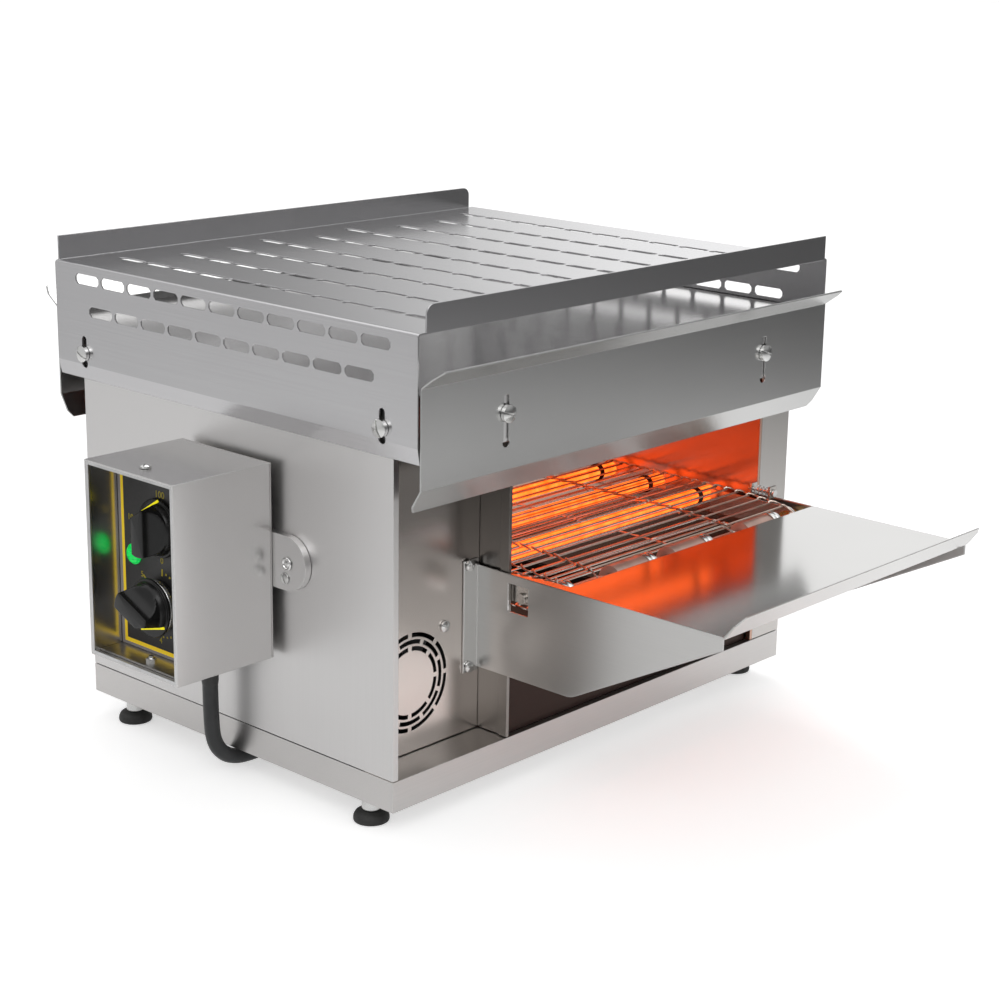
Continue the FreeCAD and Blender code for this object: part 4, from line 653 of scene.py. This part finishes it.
def belt_strands(finish):
    """Round strands side by side: each steps a pitch forward and back at its joints, with end hooks.

    A strand is a line (u across, v forward, h outwards) laid in the frame of its place on the belt.
    """
    outline = belt_outline()
    total = outline[0][-1]
    count = 2 * round(total / BELT_PITCH / 2)
    step = total / count
    here = belt_line(np.arange(count) * step, outline)
    there = belt_line(np.arange(1, count + 1) * step, outline)
    forward = (there - here) / np.linalg.norm(there - here, axis=1, keepdims=True)
    pitch = float(np.linalg.norm(there - here, axis=1).mean())
    width = BELT_WIDTH
    first = FIRST_JOINT_SHARE * width
    second = SECOND_JOINT_SHARE * width
    w = STRAND_RISE
    start_hook = [(5.2, pitch + 1.7, 0.2), (4.0, pitch + 0.9, w), (2.4, pitch - 1.2, w),
                  (0.8, pitch - 3.4, 0.6), (0.8, 2.6, 0), (1.4, 0.6, 0), (4.0, 0, 0)]
    step_on = [(first - 3.0, 0, 0), (first, 0.2, 0), (first + 0.8, pitch - 2.5, 0.7),
               (first + 1.4, pitch + 1.2, w), (first + 3.0, pitch + 1.6, 0.8), (first + 4.6, pitch + 0.2, 0),
               (first + 9.0, pitch, 0)]
    step_back = [(second - 3.0, pitch, 0), (second, pitch - 0.2, 0), (second + 0.8, 3.0, 0.7),
                 (second + 1.4, -1.2, w), (second + 3.0, -1.6, 0.8), (second + 4.6, -0.2, 0),
                 (second + 9.0, 0, 0)]
    end_hook = [(width - u, v, h) for u, v, h in start_hook[::-1]]
    local = strand_points(start_hook + step_on + step_back + end_hook)
    axis = np.column_stack([np.zeros(count), forward])
    normal = np.cross(X_WAY, axis)
    start = np.column_stack([np.full(count, BELT_LEFT), here])
    flat_u = local[None, :, 0, None] * X_WAY
    bend = local[None, :, 1, None]
    after = np.roll(axis, -1, axis=0)[:, None]
    within = np.clip(bend, -pitch, pitch)
    past = bend - within
    raised = local[None, :, 2, None] * normal[:, None]
    paths = start[:, None] + flat_u + within * axis[:, None] + past * after + raised
    return piece("belt_strands", round_bar(paths, STRAND_RADIUS, normal[:, None], 6), "machine", finish,
                 ("wire_belt",), 60.0)


def strand_points(corners):
    """Corner points with every bend rounded by one cut, long runs left straight."""
    line = np.asarray(corners, dtype=float)
    gap = np.linalg.norm(np.diff(line, axis=0), axis=1)
    share = np.minimum(0.3, 2.0 / gap)[:, None]
    near = line[:-1] + np.diff(line, axis=0) * share
    far = line[1:] - np.diff(line, axis=0) * share
    inner = np.stack([near, far], axis=1).reshape(-1, 3)
    return np.concatenate([line[:1], inner[1:-1], line[-1:]])


# Heaters


def quartz_tubes(name, height, finish, stands_for):
    """Five tubes from wall to wall, each a plain turned bar with soft ends."""
    corners = [(0, 0), (TUBE_RADIUS, 0), (TUBE_RADIUS, TUBE_LENGTH), (0, TUBE_LENGTH)]
    profile = rounded_profile(corners, 0.02)
    grids = [turned(profile, (TUBE_LEFT, y, height), X_WAY, 24) for y in TUBE_YS]
    return piece(name, grids, "machine", finish, (stands_for,), 60.0)


def tube_clips(finish):
    """Dark spring clips near both ends of every tube: a turned ring with a raised middle."""
    profile = [(6.15, 0), (7.2, 0.4), (7.5, 2.5), (7.2, 4.6), (6.15, 5.0), (6.15, 0)]
    grids = []
    for z in (LOWER_TUBE_Z, UPPER_TUBE_Z):
        for y in TUBE_YS:
            grids += [turned(profile, (x, y, z), X_WAY, 24) for x in CLIP_XS]
    return piece("tube_clips", grids, "machine", finish)


# Screws


def cover_screw_pieces(finish):
    """Four slotted pan heads on the aprons with their shanks and spacers."""
    spacer = [(2.6, 0), (5, 0), (5, 2.2), (2.6, 2.2), (2.6, 0)]
    grids = []
    for x, out in ((-4.3, -X_WAY), (454.3, X_WAY)):
        for y, turn in zip(COVER_SCREW_YS, (0.35, 1.1)):
            spot = np.array([x, y, COVER_SCREW_Z])
            grids += domed_head(spot, out, *BIG_HEAD, turn)
            grids += screw_shank(spot, -out, BIG_SHANK, 12.0)
            grids.append(turned(spacer, spot - 3.7 * out, -out, 24))
    return piece("cover_screw_heads", grids, "machine", finish, ("cover_screws",), 40.0)


def deflector_screw_pieces(finish):
    """Four slotted heads that hold the deflectors, with their shanks."""
    grids = []
    for y, out in ((-28.3, -Y_WAY), (364.3, Y_WAY)):
        for x, turn in zip(DEFLECTOR_SCREW_XS, (1.35, 1.2)):
            spot = np.array([x, y, DEFLECTOR_SCREW_Z])
            grids += domed_head(spot, out, *BIG_HEAD, turn)
            grids += screw_shank(spot, -out, BIG_SHANK, 8.5)
    return piece("deflector_screw_heads", grids, "machine", finish, ("deflector_screws",),
                 40.0)


def small_screw_pieces(name, spots, out, finish, stands_for, length=6.0):
    """Small slotted heads of one group of screws."""
    grids = []
    for number, spot in enumerate(np.asarray(spots, dtype=float)):
        grids += domed_head(spot, out, *SMALL_HEAD, 0.4 + 0.7 * number, *SMALL_SLOT)
        grids += screw_shank(spot, -out, SMALL_SHANK, length)
    return piece(name, grids, "machine", finish, stands_for, 40.0)


def box_screw_pieces(finish):
    """Slotted heads above and below the hood, and the hexagon nut on its floor."""
    grids = []
    for z, out, turn in ((248.3, Z_WAY, 0.5), (104.7, -Z_WAY, 1.0)):
        spot = np.array([BOX_SCREW_X, BOX_MIDDLE_Y, z])
        grids += domed_head(spot, out, *SMALL_HEAD, turn, *SMALL_SLOT)
        grids += screw_shank(spot, -out, SMALL_SHANK, 4.2)
    nut = [(0, 0), (3.7, 0), (3.7, 2.9), (2.2, 3.2), (1.9, 3.3), (1.9, 4.6), (0, 4.6)]
    grids.append(turned(nut, (BOX_SCREW_X, BOX_MIDDLE_Y, 107.4), Z_WAY, 6))
    return piece("box_screw_heads", grids, "machine", finish, ("box_screws",), 40.0)


def hood_hem(finish):
    """Folded hem inside the hood's open edge: one rounded bar carried round the rectangle."""
    bar = np.array([(0.9, 0.3), (1.2, 0.0), (3.1, 0.0), (3.4, 0.3), (3.4, 1.3), (3.1, 1.6), (1.2, 1.6),
                    (0.9, 1.3)])
    y0, y1, z0, z1 = HOOD_OPENING
    inward = np.array([(1.0, 1.0), (-1.0, 1.0), (-1.0, -1.0), (1.0, -1.0)])
    corner = np.array([(y0, z0), (y1, z0), (y1, z1), (y0, z1)])
    flat = corner[:, None] + bar[None, :, :1] * inward[:, None]
    deep = np.broadcast_to(HOOD_FRONT_X + bar[None, :, 1], (4, len(bar)))
    grid = np.stack([deep, flat[..., 0], flat[..., 1]], axis=-1)
    return piece("hood_hem", [(grid, True, True)], "machine", finish)


def bracket_rivet_pieces(finish):
    """Rivet with a rolled ring and a domed middle, and a small slotted head below it."""
    rivet = rounded_profile([(0, 0), (5.0, 0), (4.8, 1.0), (4.1, 1.4), (3.4, 1.2), (2.9, 0.4), (2.4, 0.4),
                             (1.6, 0.9), (0, 1.1)], 0.15)
    grids = [turned(rivet, (-6.0, 99.8, 178.0), -X_WAY, 32)]
    grids += domed_head(np.array([-6.0, 102.2, 167.0]), -X_WAY, 4.1, 1.4, 0.4, 1.0, 0.7, 0.7)
    return piece("bracket_rivet", grids, "machine", finish, ("bracket_fixings",), 40.0)


# Rollers


def roller_pieces(neck_finish, collar_finish):
    """Four turned rollers on the front axle; the collar at each right end is a piece of its own metal."""
    bore, out, groove = ROLLER_BORE, COLLAR_RADIUS, COLLAR_RADIUS - 0.5
    necks = []
    collars = []
    for x0, x1 in ROLLER_ENDS:
        start = (x0, FRONT_AXLE_Y, AXLE_Z)
        edge = x1 - x0 - COLLAR_LENGTH
        end = edge + COLLAR_LENGTH
        neck = rounded_profile([(bore, 0), (NECK_RADIUS, 0), (NECK_RADIUS, edge + 0.2), (bore, edge + 0.2),
                                (bore, 0)], 0.05)
        collar = rounded_profile([(bore, edge), (out, edge), (out, edge + 3.2), (groove, edge + 3.6),
                                  (groove, edge + 5.2), (out, edge + 5.6), (out, end), (bore, end),
                                  (bore, edge)], 0.12)
        necks.append(turned(neck, start, X_WAY, 48))
        collars.append(turned(collar, start, X_WAY, 48))
    piece("roller_necks", necks, "machine", neck_finish, ("front_bobbins",))
    piece("roller_collars", collars, "machine", collar_finish)


# Tensioner


def tension_coil(finish):
    """Coil spring about the screw: (x + r cos a, y0 + (y1 - y0) t, z + r sin a), a = 2 pi turns t."""
    t = np.linspace(0.0, 1.0, 97)
    a = 2 * math.pi * COIL_TURNS * t
    path = np.column_stack([COIL_X + COIL_RADIUS * np.cos(a), COIL_FRONT_Y + (COIL_BACK_Y - COIL_FRONT_Y) * t,
                            COIL_Z + COIL_RADIUS * np.sin(a)])
    return piece("tension_coil", round_bar(path[None], 0.55, Y_WAY, 10), "machine", finish,
                 ("tension_spring",), 60.0)


# Knobs and panel


def knob_points(z, turn, pointing, cut, wall):
    """Knob as closed grids: a low flange, and a cylinder with a facet, scooped to a bar on two sides.

    A section of the grip is a circle with |across| clipped to w(h): half the top's width plus
    11.1 * (1 - h)^2.3, where h runs from 0 at the foot of the scoops to 1 at the top. What lies
    past the facet, a plane at cut from the axis, is moved back onto it. A wall raises the whole.
    """
    start = np.array([KNOB_FOOT_X, BOX_MIDDLE_Y, z])
    flange = rounded_profile([(0, wall), (21.3, wall), (21.3, wall + 1.4), (20.7, wall + 2.3),
                              (0, wall + 2.3)], 0.15)
    grids = [turned(flange, start, -X_WAY, 64)]
    if wall:
        grids.append(turned([(0, 0), (18.6, 0), (18.6, wall + 0.3), (0, wall + 0.3)], start, -X_WAY, 64))
    a = np.linspace(0.0, 2 * math.pi, 144, endpoint=False)
    h = np.linspace(0.0, 1.0, 13)
    rise = wall + np.concatenate([[1.9, 2.2, 5.6, 6.2], 6.5 + 12.4 * h, [19.3, 19.5, 19.5]])
    radius = np.concatenate([[19.4, 19.3, 18.4, 17.7], np.full(len(h), 17.5), [17.0, 16.2, 0.0]])
    half = np.concatenate([[20.0, 20.0, 19.0, 18.0], 6.4 + 11.1 * (1 - h) ** 2.3, [6.1, 5.4, 0.0]])
    facet = cut - np.concatenate([[0.0, 0.0, 0.2, 0.3], 0.4 + 2.6 * h, [3.3, 3.9, 3.9]])
    along = np.array([0.0, math.sin(turn), math.cos(turn)])
    across = np.array([0.0, math.cos(turn), -math.sin(turn)])
    out = np.array([0.0, math.sin(pointing), math.cos(pointing)])
    v = np.clip(radius[:, None] * np.cos(a), -half[:, None], half[:, None])
    grip = v[..., None] * across + (radius[:, None] * np.sin(a))[..., None] * along
    past = np.maximum(grip @ out - facet[:, None], 0.0)
    grip = start - rise[:, None, None] * X_WAY + grip - past[..., None] * out
    first = np.repeat(grip[:1].mean(axis=1, keepdims=True), len(a), axis=1)
    grids.append((np.concatenate([first, grip]), False, True))
    return grids


def knob_line(z, pointing, cut, wall):
    """Yellow chord line on the flange at the facet's foot, square to the way the knob points."""
    out = np.array([0.0, math.sin(pointing), math.cos(pointing)])
    side = np.array([0.0, math.cos(pointing), -math.sin(pointing)])
    middle = np.array([KNOB_LINE_X - wall, BOX_MIDDLE_Y, z]) + (cut + 0.95) * out
    long, wide = KNOB_LINE_HALF
    corners = [middle + a * long * side + b * wide * out for a, b in ((-1, -1), (1, -1), (1, 1), (-1, 1))]
    return [flat_plate(corners, X_WAY, 0.5)]


def knob_ring(z):
    """Bright ring round the lower knob's wall: a turned bead."""
    bead = rounded_profile([(18.5, 3.4), (19.9, 3.8), (19.9, 6.8), (18.5, 7.2), (18.5, 3.4)], 0.2)
    return [turned(bead, (KNOB_FOOT_X, BOX_MIDDLE_Y, z), -X_WAY, 64)]


def print_mark(text, y, z, size):
    """One printed number, made a mesh before its place is applied."""
    name = "mark_" + text
    data = bpy.data.curves.new(name, "FONT")
    data.body = text
    data.size = size
    data.align_x = "CENTER"
    data.align_y = "CENTER"
    data.extrude = 0.06
    data.resolution_u = 4
    holder = bpy.data.objects.new(name + "_draft", data)
    bpy.context.scene.collection.objects.link(holder)
    bpy.context.view_layer.update()
    mesh = bpy.data.meshes.new_from_object(holder.evaluated_get(bpy.context.evaluated_depsgraph_get()))
    bpy.data.objects.remove(holder)
    flat = np.empty(len(mesh.vertices) * 3)
    mesh.vertices.foreach_get("co", flat)
    flat = flat.reshape(-1, 3)
    there = np.column_stack([PANEL_X - 0.05 - flat[:, 2], y - flat[:, 0], z + flat[:, 1]])
    mesh.vertices.foreach_set("co", place(there).ravel())
    mesh.update()
    return mesh


def panel_marks(finish):
    """Plain numbers of the two scales as one printed piece, and the ticks as a second one."""
    numbers = (("100", 163.1, 226.8, 7.0), ("10", 196.6, 204.0, 6.5), ("0", 162.5, 179.2, 6.5),
               ("1", 138.0, 166.0, 6.5), ("2", 133.0, 138.0, 6.5), ("3", 147.0, 119.5, 6.5),
               ("4", 166.1, 119.8, 6.5), ("5", 185.0, 164.6, 6.0))
    shell = bmesh.new()
    for number in numbers:
        mesh = print_mark(*number)
        shell.from_mesh(mesh)
        bpy.data.meshes.remove(mesh)
    joined = bpy.data.meshes.new("panel_marks")
    shell.to_mesh(joined)
    shell.free()
    settle("panel_marks", joined, "machine", finish)
    grids = []
    for k in (-5, *range(18)):
        a = math.radians(FIRST_TICK - TICK_STEP * k)
        out = np.array([0.0, math.sin(a), math.cos(a)])
        side = np.array([0.0, math.cos(a), -math.sin(a)])
        middle = np.array([PANEL_X - 0.02, BOX_MIDDLE_Y, LOWER_KNOB_Z]) + TICK_RING * out
        half = LONG_TICK_HALF if k % 5 == 0 and k < 15 else SHORT_TICK_HALF
        wide = TICK_HALF_WIDTH
        corners = [middle - half * out - wide * side, middle + half * out - wide * side,
                   middle + half * out + wide * side, middle - half * out + wide * side]
        grids.append(flat_plate(corners, -X_WAY, 0.12))
    piece("panel_ticks", grids, "machine", finish)


def pilot_lamp_piece(finish):
    """Domed lens, turned: a low dome over a straight rim."""
    a = np.linspace(0.0, math.pi / 2, 9)
    dome = np.column_stack([7.0 * np.cos(a), 1.2 + 2.7 * np.sin(a)])
    profile = np.concatenate([[(0, -22.0), (5.5, -22.0), (5.5, -0.1), (7.5, 0.0), (7.5, 1.0)], dome])
    profile[-1, 0] = 0.0
    return piece("pilot_lens", [turned(profile, LAMP_PLACE, -X_WAY, 36)], "machine", finish,
                 ("pilot_lamp",))


# Feet


def foot_pieces(rubber, plated):
    """Turned rubber pads with rolled edges, and studs with a collar nut and a washer."""
    pads = []
    studs = []
    pad = rounded_profile([(0, 0), (12.2, 0), (13.0, 1.4), (12.8, 4.4), (11.2, 7.2), (8.0, 8.4), (0, 8.4)],
                          0.2)
    stud = rounded_profile([(0, 0), (6.6, 0), (6.9, 1.0), (6.9, 7.4), (6.6, 8.3), (8.1, 8.6), (8.1, 10.1),
                            (4.0, 10.2), (4.0, 13.4), (0, 13.4)], 0.12)
    for x in FOOT_XS:
        for y in FOOT_YS:
            pads.append(turned(pad, (x, y, 0.0), Z_WAY, 48))
            studs.append(turned(stud, (x, y, PAD_TOP_Z), Z_WAY, 36))
    piece("foot_pads", pads, "machine", rubber, ("foot_pucks",))
    piece("foot_collars", studs, "machine", plated, ("foot_studs",))


# Floor, light and sky


def pale_floor():
    """Floor that keeps the shadow: white near the object, and deeper in reflections far from it."""
    r = FLOOR_REACH
    mesh = bpy.data.meshes.new("floor")
    mesh.from_pydata([(-r, -r, 0), (r, -r, 0), (r, r, 0), (-r, r, 0)], [], [(0, 1, 2, 3)])
    floor = bpy.data.objects.new("floor", mesh)
    bpy.context.scene.collection.objects.link(floor)
    made = Finish("pale_floor", Roughness=0.9)
    away = made.node("ShaderNodeVectorMath", operation="LENGTH")
    spot = made.place_on()
    made.join(spot, away.inputs[0])
    reach = away.outputs["Value"]
    split = made.axes(spot)
    leftward = made.spread(made.sum("SUBTRACT", split[1], split[0]), 0.0, 1.0, -0.55, 0.35)
    far = made.spread(reach, 0.0, 1.0, NEAR_FLOOR, FAR_FLOOR)
    made.drive("Base Color", made.blend(far, (0.85, 0.85, 0.85), (0.20, 0.20, 0.20)))
    seen = made.node("ShaderNodeLightPath")
    straight = made.spread(reach, 1.04 - 0.85 * SKY, 1.06 - 0.20 * SKY, NEAR_FLOOR, FAR_FLOOR)
    right_side = made.spread(reach, 0.98 - 0.85 * SKY, 0.04 - 0.20 * SKY, NEAR_FLOOR, FAR_FLOOR)
    left_side = made.spread(reach, 0.78 - 0.85 * SKY, 0.56 - 0.20 * SKY, NEAR_FLOOR, FAR_FLOOR)
    mirrored = made.sum("ADD", made.sum("MULTIPLY", left_side, leftward),
                        made.sum("MULTIPLY", right_side, made.sum("SUBTRACT", 1.0, leftward)))
    metal = made.sum("MAXIMUM", seen.outputs["Is Glossy Ray"], seen.outputs["Is Transmission Ray"])
    made.shader.inputs["Emission Color"].default_value = (1.0, 1.0, 1.0, 1.0)
    glow = made.sum("ADD", made.sum("MULTIPLY", seen.outputs["Is Camera Ray"], straight),
                    made.sum("MULTIPLY", metal, mirrored))
    made.drive("Emission Strength", glow)
    mesh.materials.append(made.material)


def studio_world():
    """White surround: white to the camera, and to metal a soft studio by direction.

    It is brightest overhead and at the far right, middling at the far left and dark on the near side.
    """
    world = bpy.data.worlds.new("studio")
    bpy.context.scene.world = world
    world.use_nodes = True
    sky = NodeCalls(world.node_tree)
    seen = sky.node("ShaderNodeLightPath").outputs
    way = sky.axes(sky.node("ShaderNodeTexCoord").outputs["Generated"])
    right = sky.spread(way[0], 0.0, 1.0, 0.60, 0.80, "SMOOTHSTEP")
    left = sky.spread(way[0], 0.0, 0.42, 0.15, -0.45, "SMOOTHSTEP")
    back = sky.spread(way[1], 0.0, 1.0, -0.30, 0.25, "SMOOTHSTEP")
    high = sky.spread(way[2], 0.0, 0.28, 0.02, 0.30, "SMOOTHSTEP")
    top = sky.spread(way[2], 0.0, 0.95, 0.50, 0.72, "SMOOTHSTEP")
    round_about = sky.sum("ADD", sky.sum("ADD", right, left), 0.22)
    overhead = sky.sum("ADD", sky.sum("ADD", high, top), 0.12)
    soft = sky.node("ShaderNodeMix")
    soft.inputs[2].default_value = SKY
    sky.join(sky.sum("MAXIMUM", seen["Is Glossy Ray"], seen["Is Transmission Ray"]), soft.inputs[0])
    sky.join(sky.sum("MAXIMUM", sky.sum("MULTIPLY", round_about, back), overhead), soft.inputs[3])
    whole = sky.node("ShaderNodeMix")
    whole.inputs[3].default_value = 1.0
    sky.join(seen["Is Camera Ray"], whole.inputs[0])
    sky.join(soft.outputs[0], whole.inputs[2])
    background = sky.nodes["Background"]
    background.inputs["Color"].default_value = (1.0, 1.0, 1.0, 1.0)
    sky.join(whole.outputs[0], background.inputs["Strength"])


def soft_lamp(name, spot, aim, across, power):
    """Round area lamp at spot that looks at aim."""
    data = bpy.data.lights.new(name, "AREA")
    data.shape = "DISK"
    data.size = across
    data.energy = power
    lamp = bpy.data.objects.new(name, data)
    bpy.context.scene.collection.objects.link(lamp)
    back = np.array(spot) - np.array(aim)
    back = back / np.linalg.norm(back)
    side = np.cross(Z_WAY, back)
    side = side / np.linalg.norm(side)
    axes = np.eye(4)
    axes[:3, 0] = side
    axes[:3, 1] = np.cross(back, side)
    axes[:3, 2] = back
    axes[:3, 3] = spot
    lamp.matrix_world = Matrix(axes.tolist())
    lamp.visible_camera = False


photo_camera()

black_plastic = moulded_plastic("black_plastic", (0.018, 0.018, 0.018))
knob_black = glossy_moulding("knob_black", (0.010, 0.010, 0.010))
cable_sheath = moulded_plastic("cable_sheath", (0.020, 0.021, 0.022), 0.38, 600.0, 0.00002, 0.0)
rubber = moulded_plastic("foot_rubber", (0.020, 0.020, 0.019), 0.6, 500.0)
plated = polished_metal("plated_steel", (0.78, 0.78, 0.77), 0.14)
bright_steel = polished_metal("bright_steel", (0.66, 0.65, 0.64), 0.16)
brass = polished_metal("turned_brass", (0.72, 0.55, 0.22), 0.18)
clip_steel = polished_metal("clip_steel", (0.07, 0.045, 0.035), 0.4, 0.0)
belt_wire = heated_wire("belt_wire")
roller_steel = heated_steel("roller_steel", (0.62, 0.42, 0.35))
print_yellow = yellow_print("print_yellow", (0.62, 0.50, 0.03), 0.0)
line_yellow = yellow_print("line_yellow", (1.0, 0.88, 0.0), 0.6)
ceramic = fired_ceramic("ceramic")
motor_paint = moulded_plastic("motor_paint", (0.05, 0.055, 0.06), 0.5, 700.0)
hem_steel = polished_metal("hem_steel", (0.66, 0.66, 0.66), 0.30, 0.0004)

cable = control_cable(cable_sheath)
cable_sleeve(black_plastic)

# Sheet nodes: colour, roughness, way of the grain and its strength; some colours of the same steel are set
# lighter or darker per node as painted light and shade
SHEETS = {
    "base_tray": ((0.60, 0.585, 0.575), 0.30, "X", 0.020),
    # Painted light: the left casing is set lighter than the right casing's same steel.
    "left_casing": ((0.68, 0.67, 0.665), 0.40, "Z", 0.012),
    "right_casing": ((0.58, 0.56, 0.54), 0.32, "Z", 0.012),
    "case_top_plate": ((0.68, 0.67, 0.67), 0.16, "X", 0.016),
    "fan_panel": ((0.76, 0.70, 0.66), 0.24, "Z", 0.016),
    "rear_panel": ((0.60, 0.59, 0.58), 0.32, "X", 0.020),
    # Painted shade: the chamber's left wall is set much darker than the other steel sheets.
    "chamber_left_wall": ((0.30, 0.285, 0.27), 0.28, "Z", 0.016),
    "chamber_right_wall": ((0.56, 0.36, 0.28), 0.24, "Z", 0.016),
    "tension_tab": ((0.60, 0.58, 0.55), 0.24, "Z", 0.016),
    "heat_reflector": ((0.60, 0.56, 0.50), 0.20, "X", 0.020),
    "top_cover": ((0.60, 0.595, 0.605), 0.22, "Y", 0.020),
    "front_deflector": ((0.56, 0.56, 0.555), 0.26, "X", 0.016),
    "rear_deflector": ((0.56, 0.56, 0.555), 0.26, "X", 0.016),
    "left_arm": ((0.55, 0.52, 0.49), 0.24, "Y", 0.020),
    "right_arm": ((0.55, 0.52, 0.49), 0.24, "Y", 0.020),
    "toast_tray": ((0.58, 0.575, 0.565), 0.14, "Y", 0.012),
    # Painted shade: the crumb tray is set near black with a red cast of painted heater glow, for the shade
    # under the toast tray.
    "crumb_tray": ((0.045, 0.030, 0.026), 0.36, "X", 0.020),
    "control_box_hood": ((0.67, 0.66, 0.655), 0.24, "Y", 0.012),
    "control_box_back": ((0.58, 0.57, 0.56), 0.34, "Y", 0.016),
    "panel_carrier": ((0.52, 0.51, 0.50), 0.30, "Y", 0.020),
    "box_bracket": ((0.68, 0.67, 0.665), 0.34, "Y", 0.016),
    "motor_bracket": ((0.55, 0.54, 0.53), 0.34, "Y", 0.020),
}
# What some sheets need besides, by the names that brushed_sheet gives; the height entries are painted light
# and shade
ODD_SHEETS = {
    "toast_tray": {"cheek_rough": 0.17, "edge": 0.0014},
    "control_box_hood": {"edge": 0.0008},
    # painted shade: the fan panel darkens towards its top, under the apron and deflector
    "fan_panel": {"painted_shading_by_height": (90.0, 250.0, 0.34)},
    # painted light: the left casing lightens towards its top
    "left_casing": {"painted_shading_by_height": (120.0, 280.0, 1.1)},
    # painted shade: the chamber's left wall darkens towards its top
    "chamber_left_wall": {"painted_shading_by_height": (60.0, 240.0, 0.6)},
}
for node, (colour, rough, along, grain) in SHEETS.items():
    odd = ODD_SHEETS.get(node, {})
    dress(node, brushed_sheet("sheet_" + node, colour, rough, along, grain, **odd))

PARTS = {
    "front_axle": bright_steel, "front_bushes": brass, "tension_screw": plated,
    "drive_axle": bright_steel, "drive_bobbins": bright_steel, "drive_bushes": brass,
    "drive_sprocket": bright_steel,
    "motor_sprocket": bright_steel, "drive_chain": clip_steel, "gear_motor": motor_paint,
    "heater_end_blocks": ceramic, "fan_frame": black_plastic, "fan_impeller": black_plastic,
    "upper_spindle": bright_steel, "lower_spindle": bright_steel, "upper_switch": black_plastic,
    "lower_switch": black_plastic, "base_gland": black_plastic,
    "terminal_block": ceramic, "scale_plate": scale_panel_finish("scale_plate_print"),
}
for node, finish in PARTS.items():
    dress(node, finish)

belt_strands(belt_wire)
first_tube_y = place((0, TUBE_YS[0], 0))[1]
quartz_tubes("upper_quartz_tubes", UPPER_TUBE_Z,
             glowing_tube("upper_glow", first_tube_y, UPPER_TUBE_Z / 1000), "upper_heater_tubes")
quartz_tubes("lower_quartz_tubes", LOWER_TUBE_Z,
             glowing_tube("lower_glow", first_tube_y, LOWER_TUBE_Z / 1000), "lower_heater_tubes")
tube_clips(clip_steel)
cover_screw_pieces(plated)
deflector_screw_pieces(plated)
tension_coil(plated)
box_screw_pieces(plated)
bracket_rivet_pieces(plated)
hood_hem(hem_steel)
roller_pieces(roller_steel, plated)
piece("upper_knob_grip", knob_points(UPPER_KNOB_Z, 0.0, UPPER_POINTING, UPPER_CUT, 0.0), "upper_knob",
      knob_black, ("upper_knob",))
piece("lower_knob_grip", knob_points(LOWER_KNOB_Z, LOWER_TURN, LOWER_POINTING, LOWER_CUT, KNOB_WALL),
      "lower_knob", knob_black, ("lower_knob",))
piece("lower_knob_ring", knob_ring(LOWER_KNOB_Z), "lower_knob", plated)
piece("upper_knob_line", knob_line(UPPER_KNOB_Z, UPPER_POINTING, UPPER_CUT, 0.0), "upper_knob",
      line_yellow)
piece("lower_knob_line", knob_line(LOWER_KNOB_Z, LOWER_POINTING, LOWER_CUT, KNOB_WALL), "lower_knob",
      line_yellow)
panel_marks(print_yellow)
pilot_lamp_piece(lamp_lens("green_lens"))
foot_pieces(rubber, plated)
small_screw_pieces("tray_screw_heads",
                   [(103.4, 28.2, 169.0), (103.4, 28.2, 92.0), (423.2, -1.8, 150.0), (423.2, -1.8, 92.0)],
                   -Y_WAY, plated, ("tray_screws",), 3.8)
small_screw_pieces("fan_screw_heads", [(45.7 + a, 29.7, 94.5 + a) for a in (-34.0, 34.0)], -Y_WAY, plated,
                   ("fan_screws",), 5.0)
pale_floor()
studio_world()
soft_lamp("right_soft_lamp", (1.2, 0.6, 3.0), (0.0, 0.0, 0.2), 1.6, 16.0)
soft_lamp("front_soft_lamp", (-2.0, -2.0, 2.6), (0.0, 0.0, 0.15), 2.0, 20.0)
bpy.context.scene.view_settings.view_transform = "Standard"
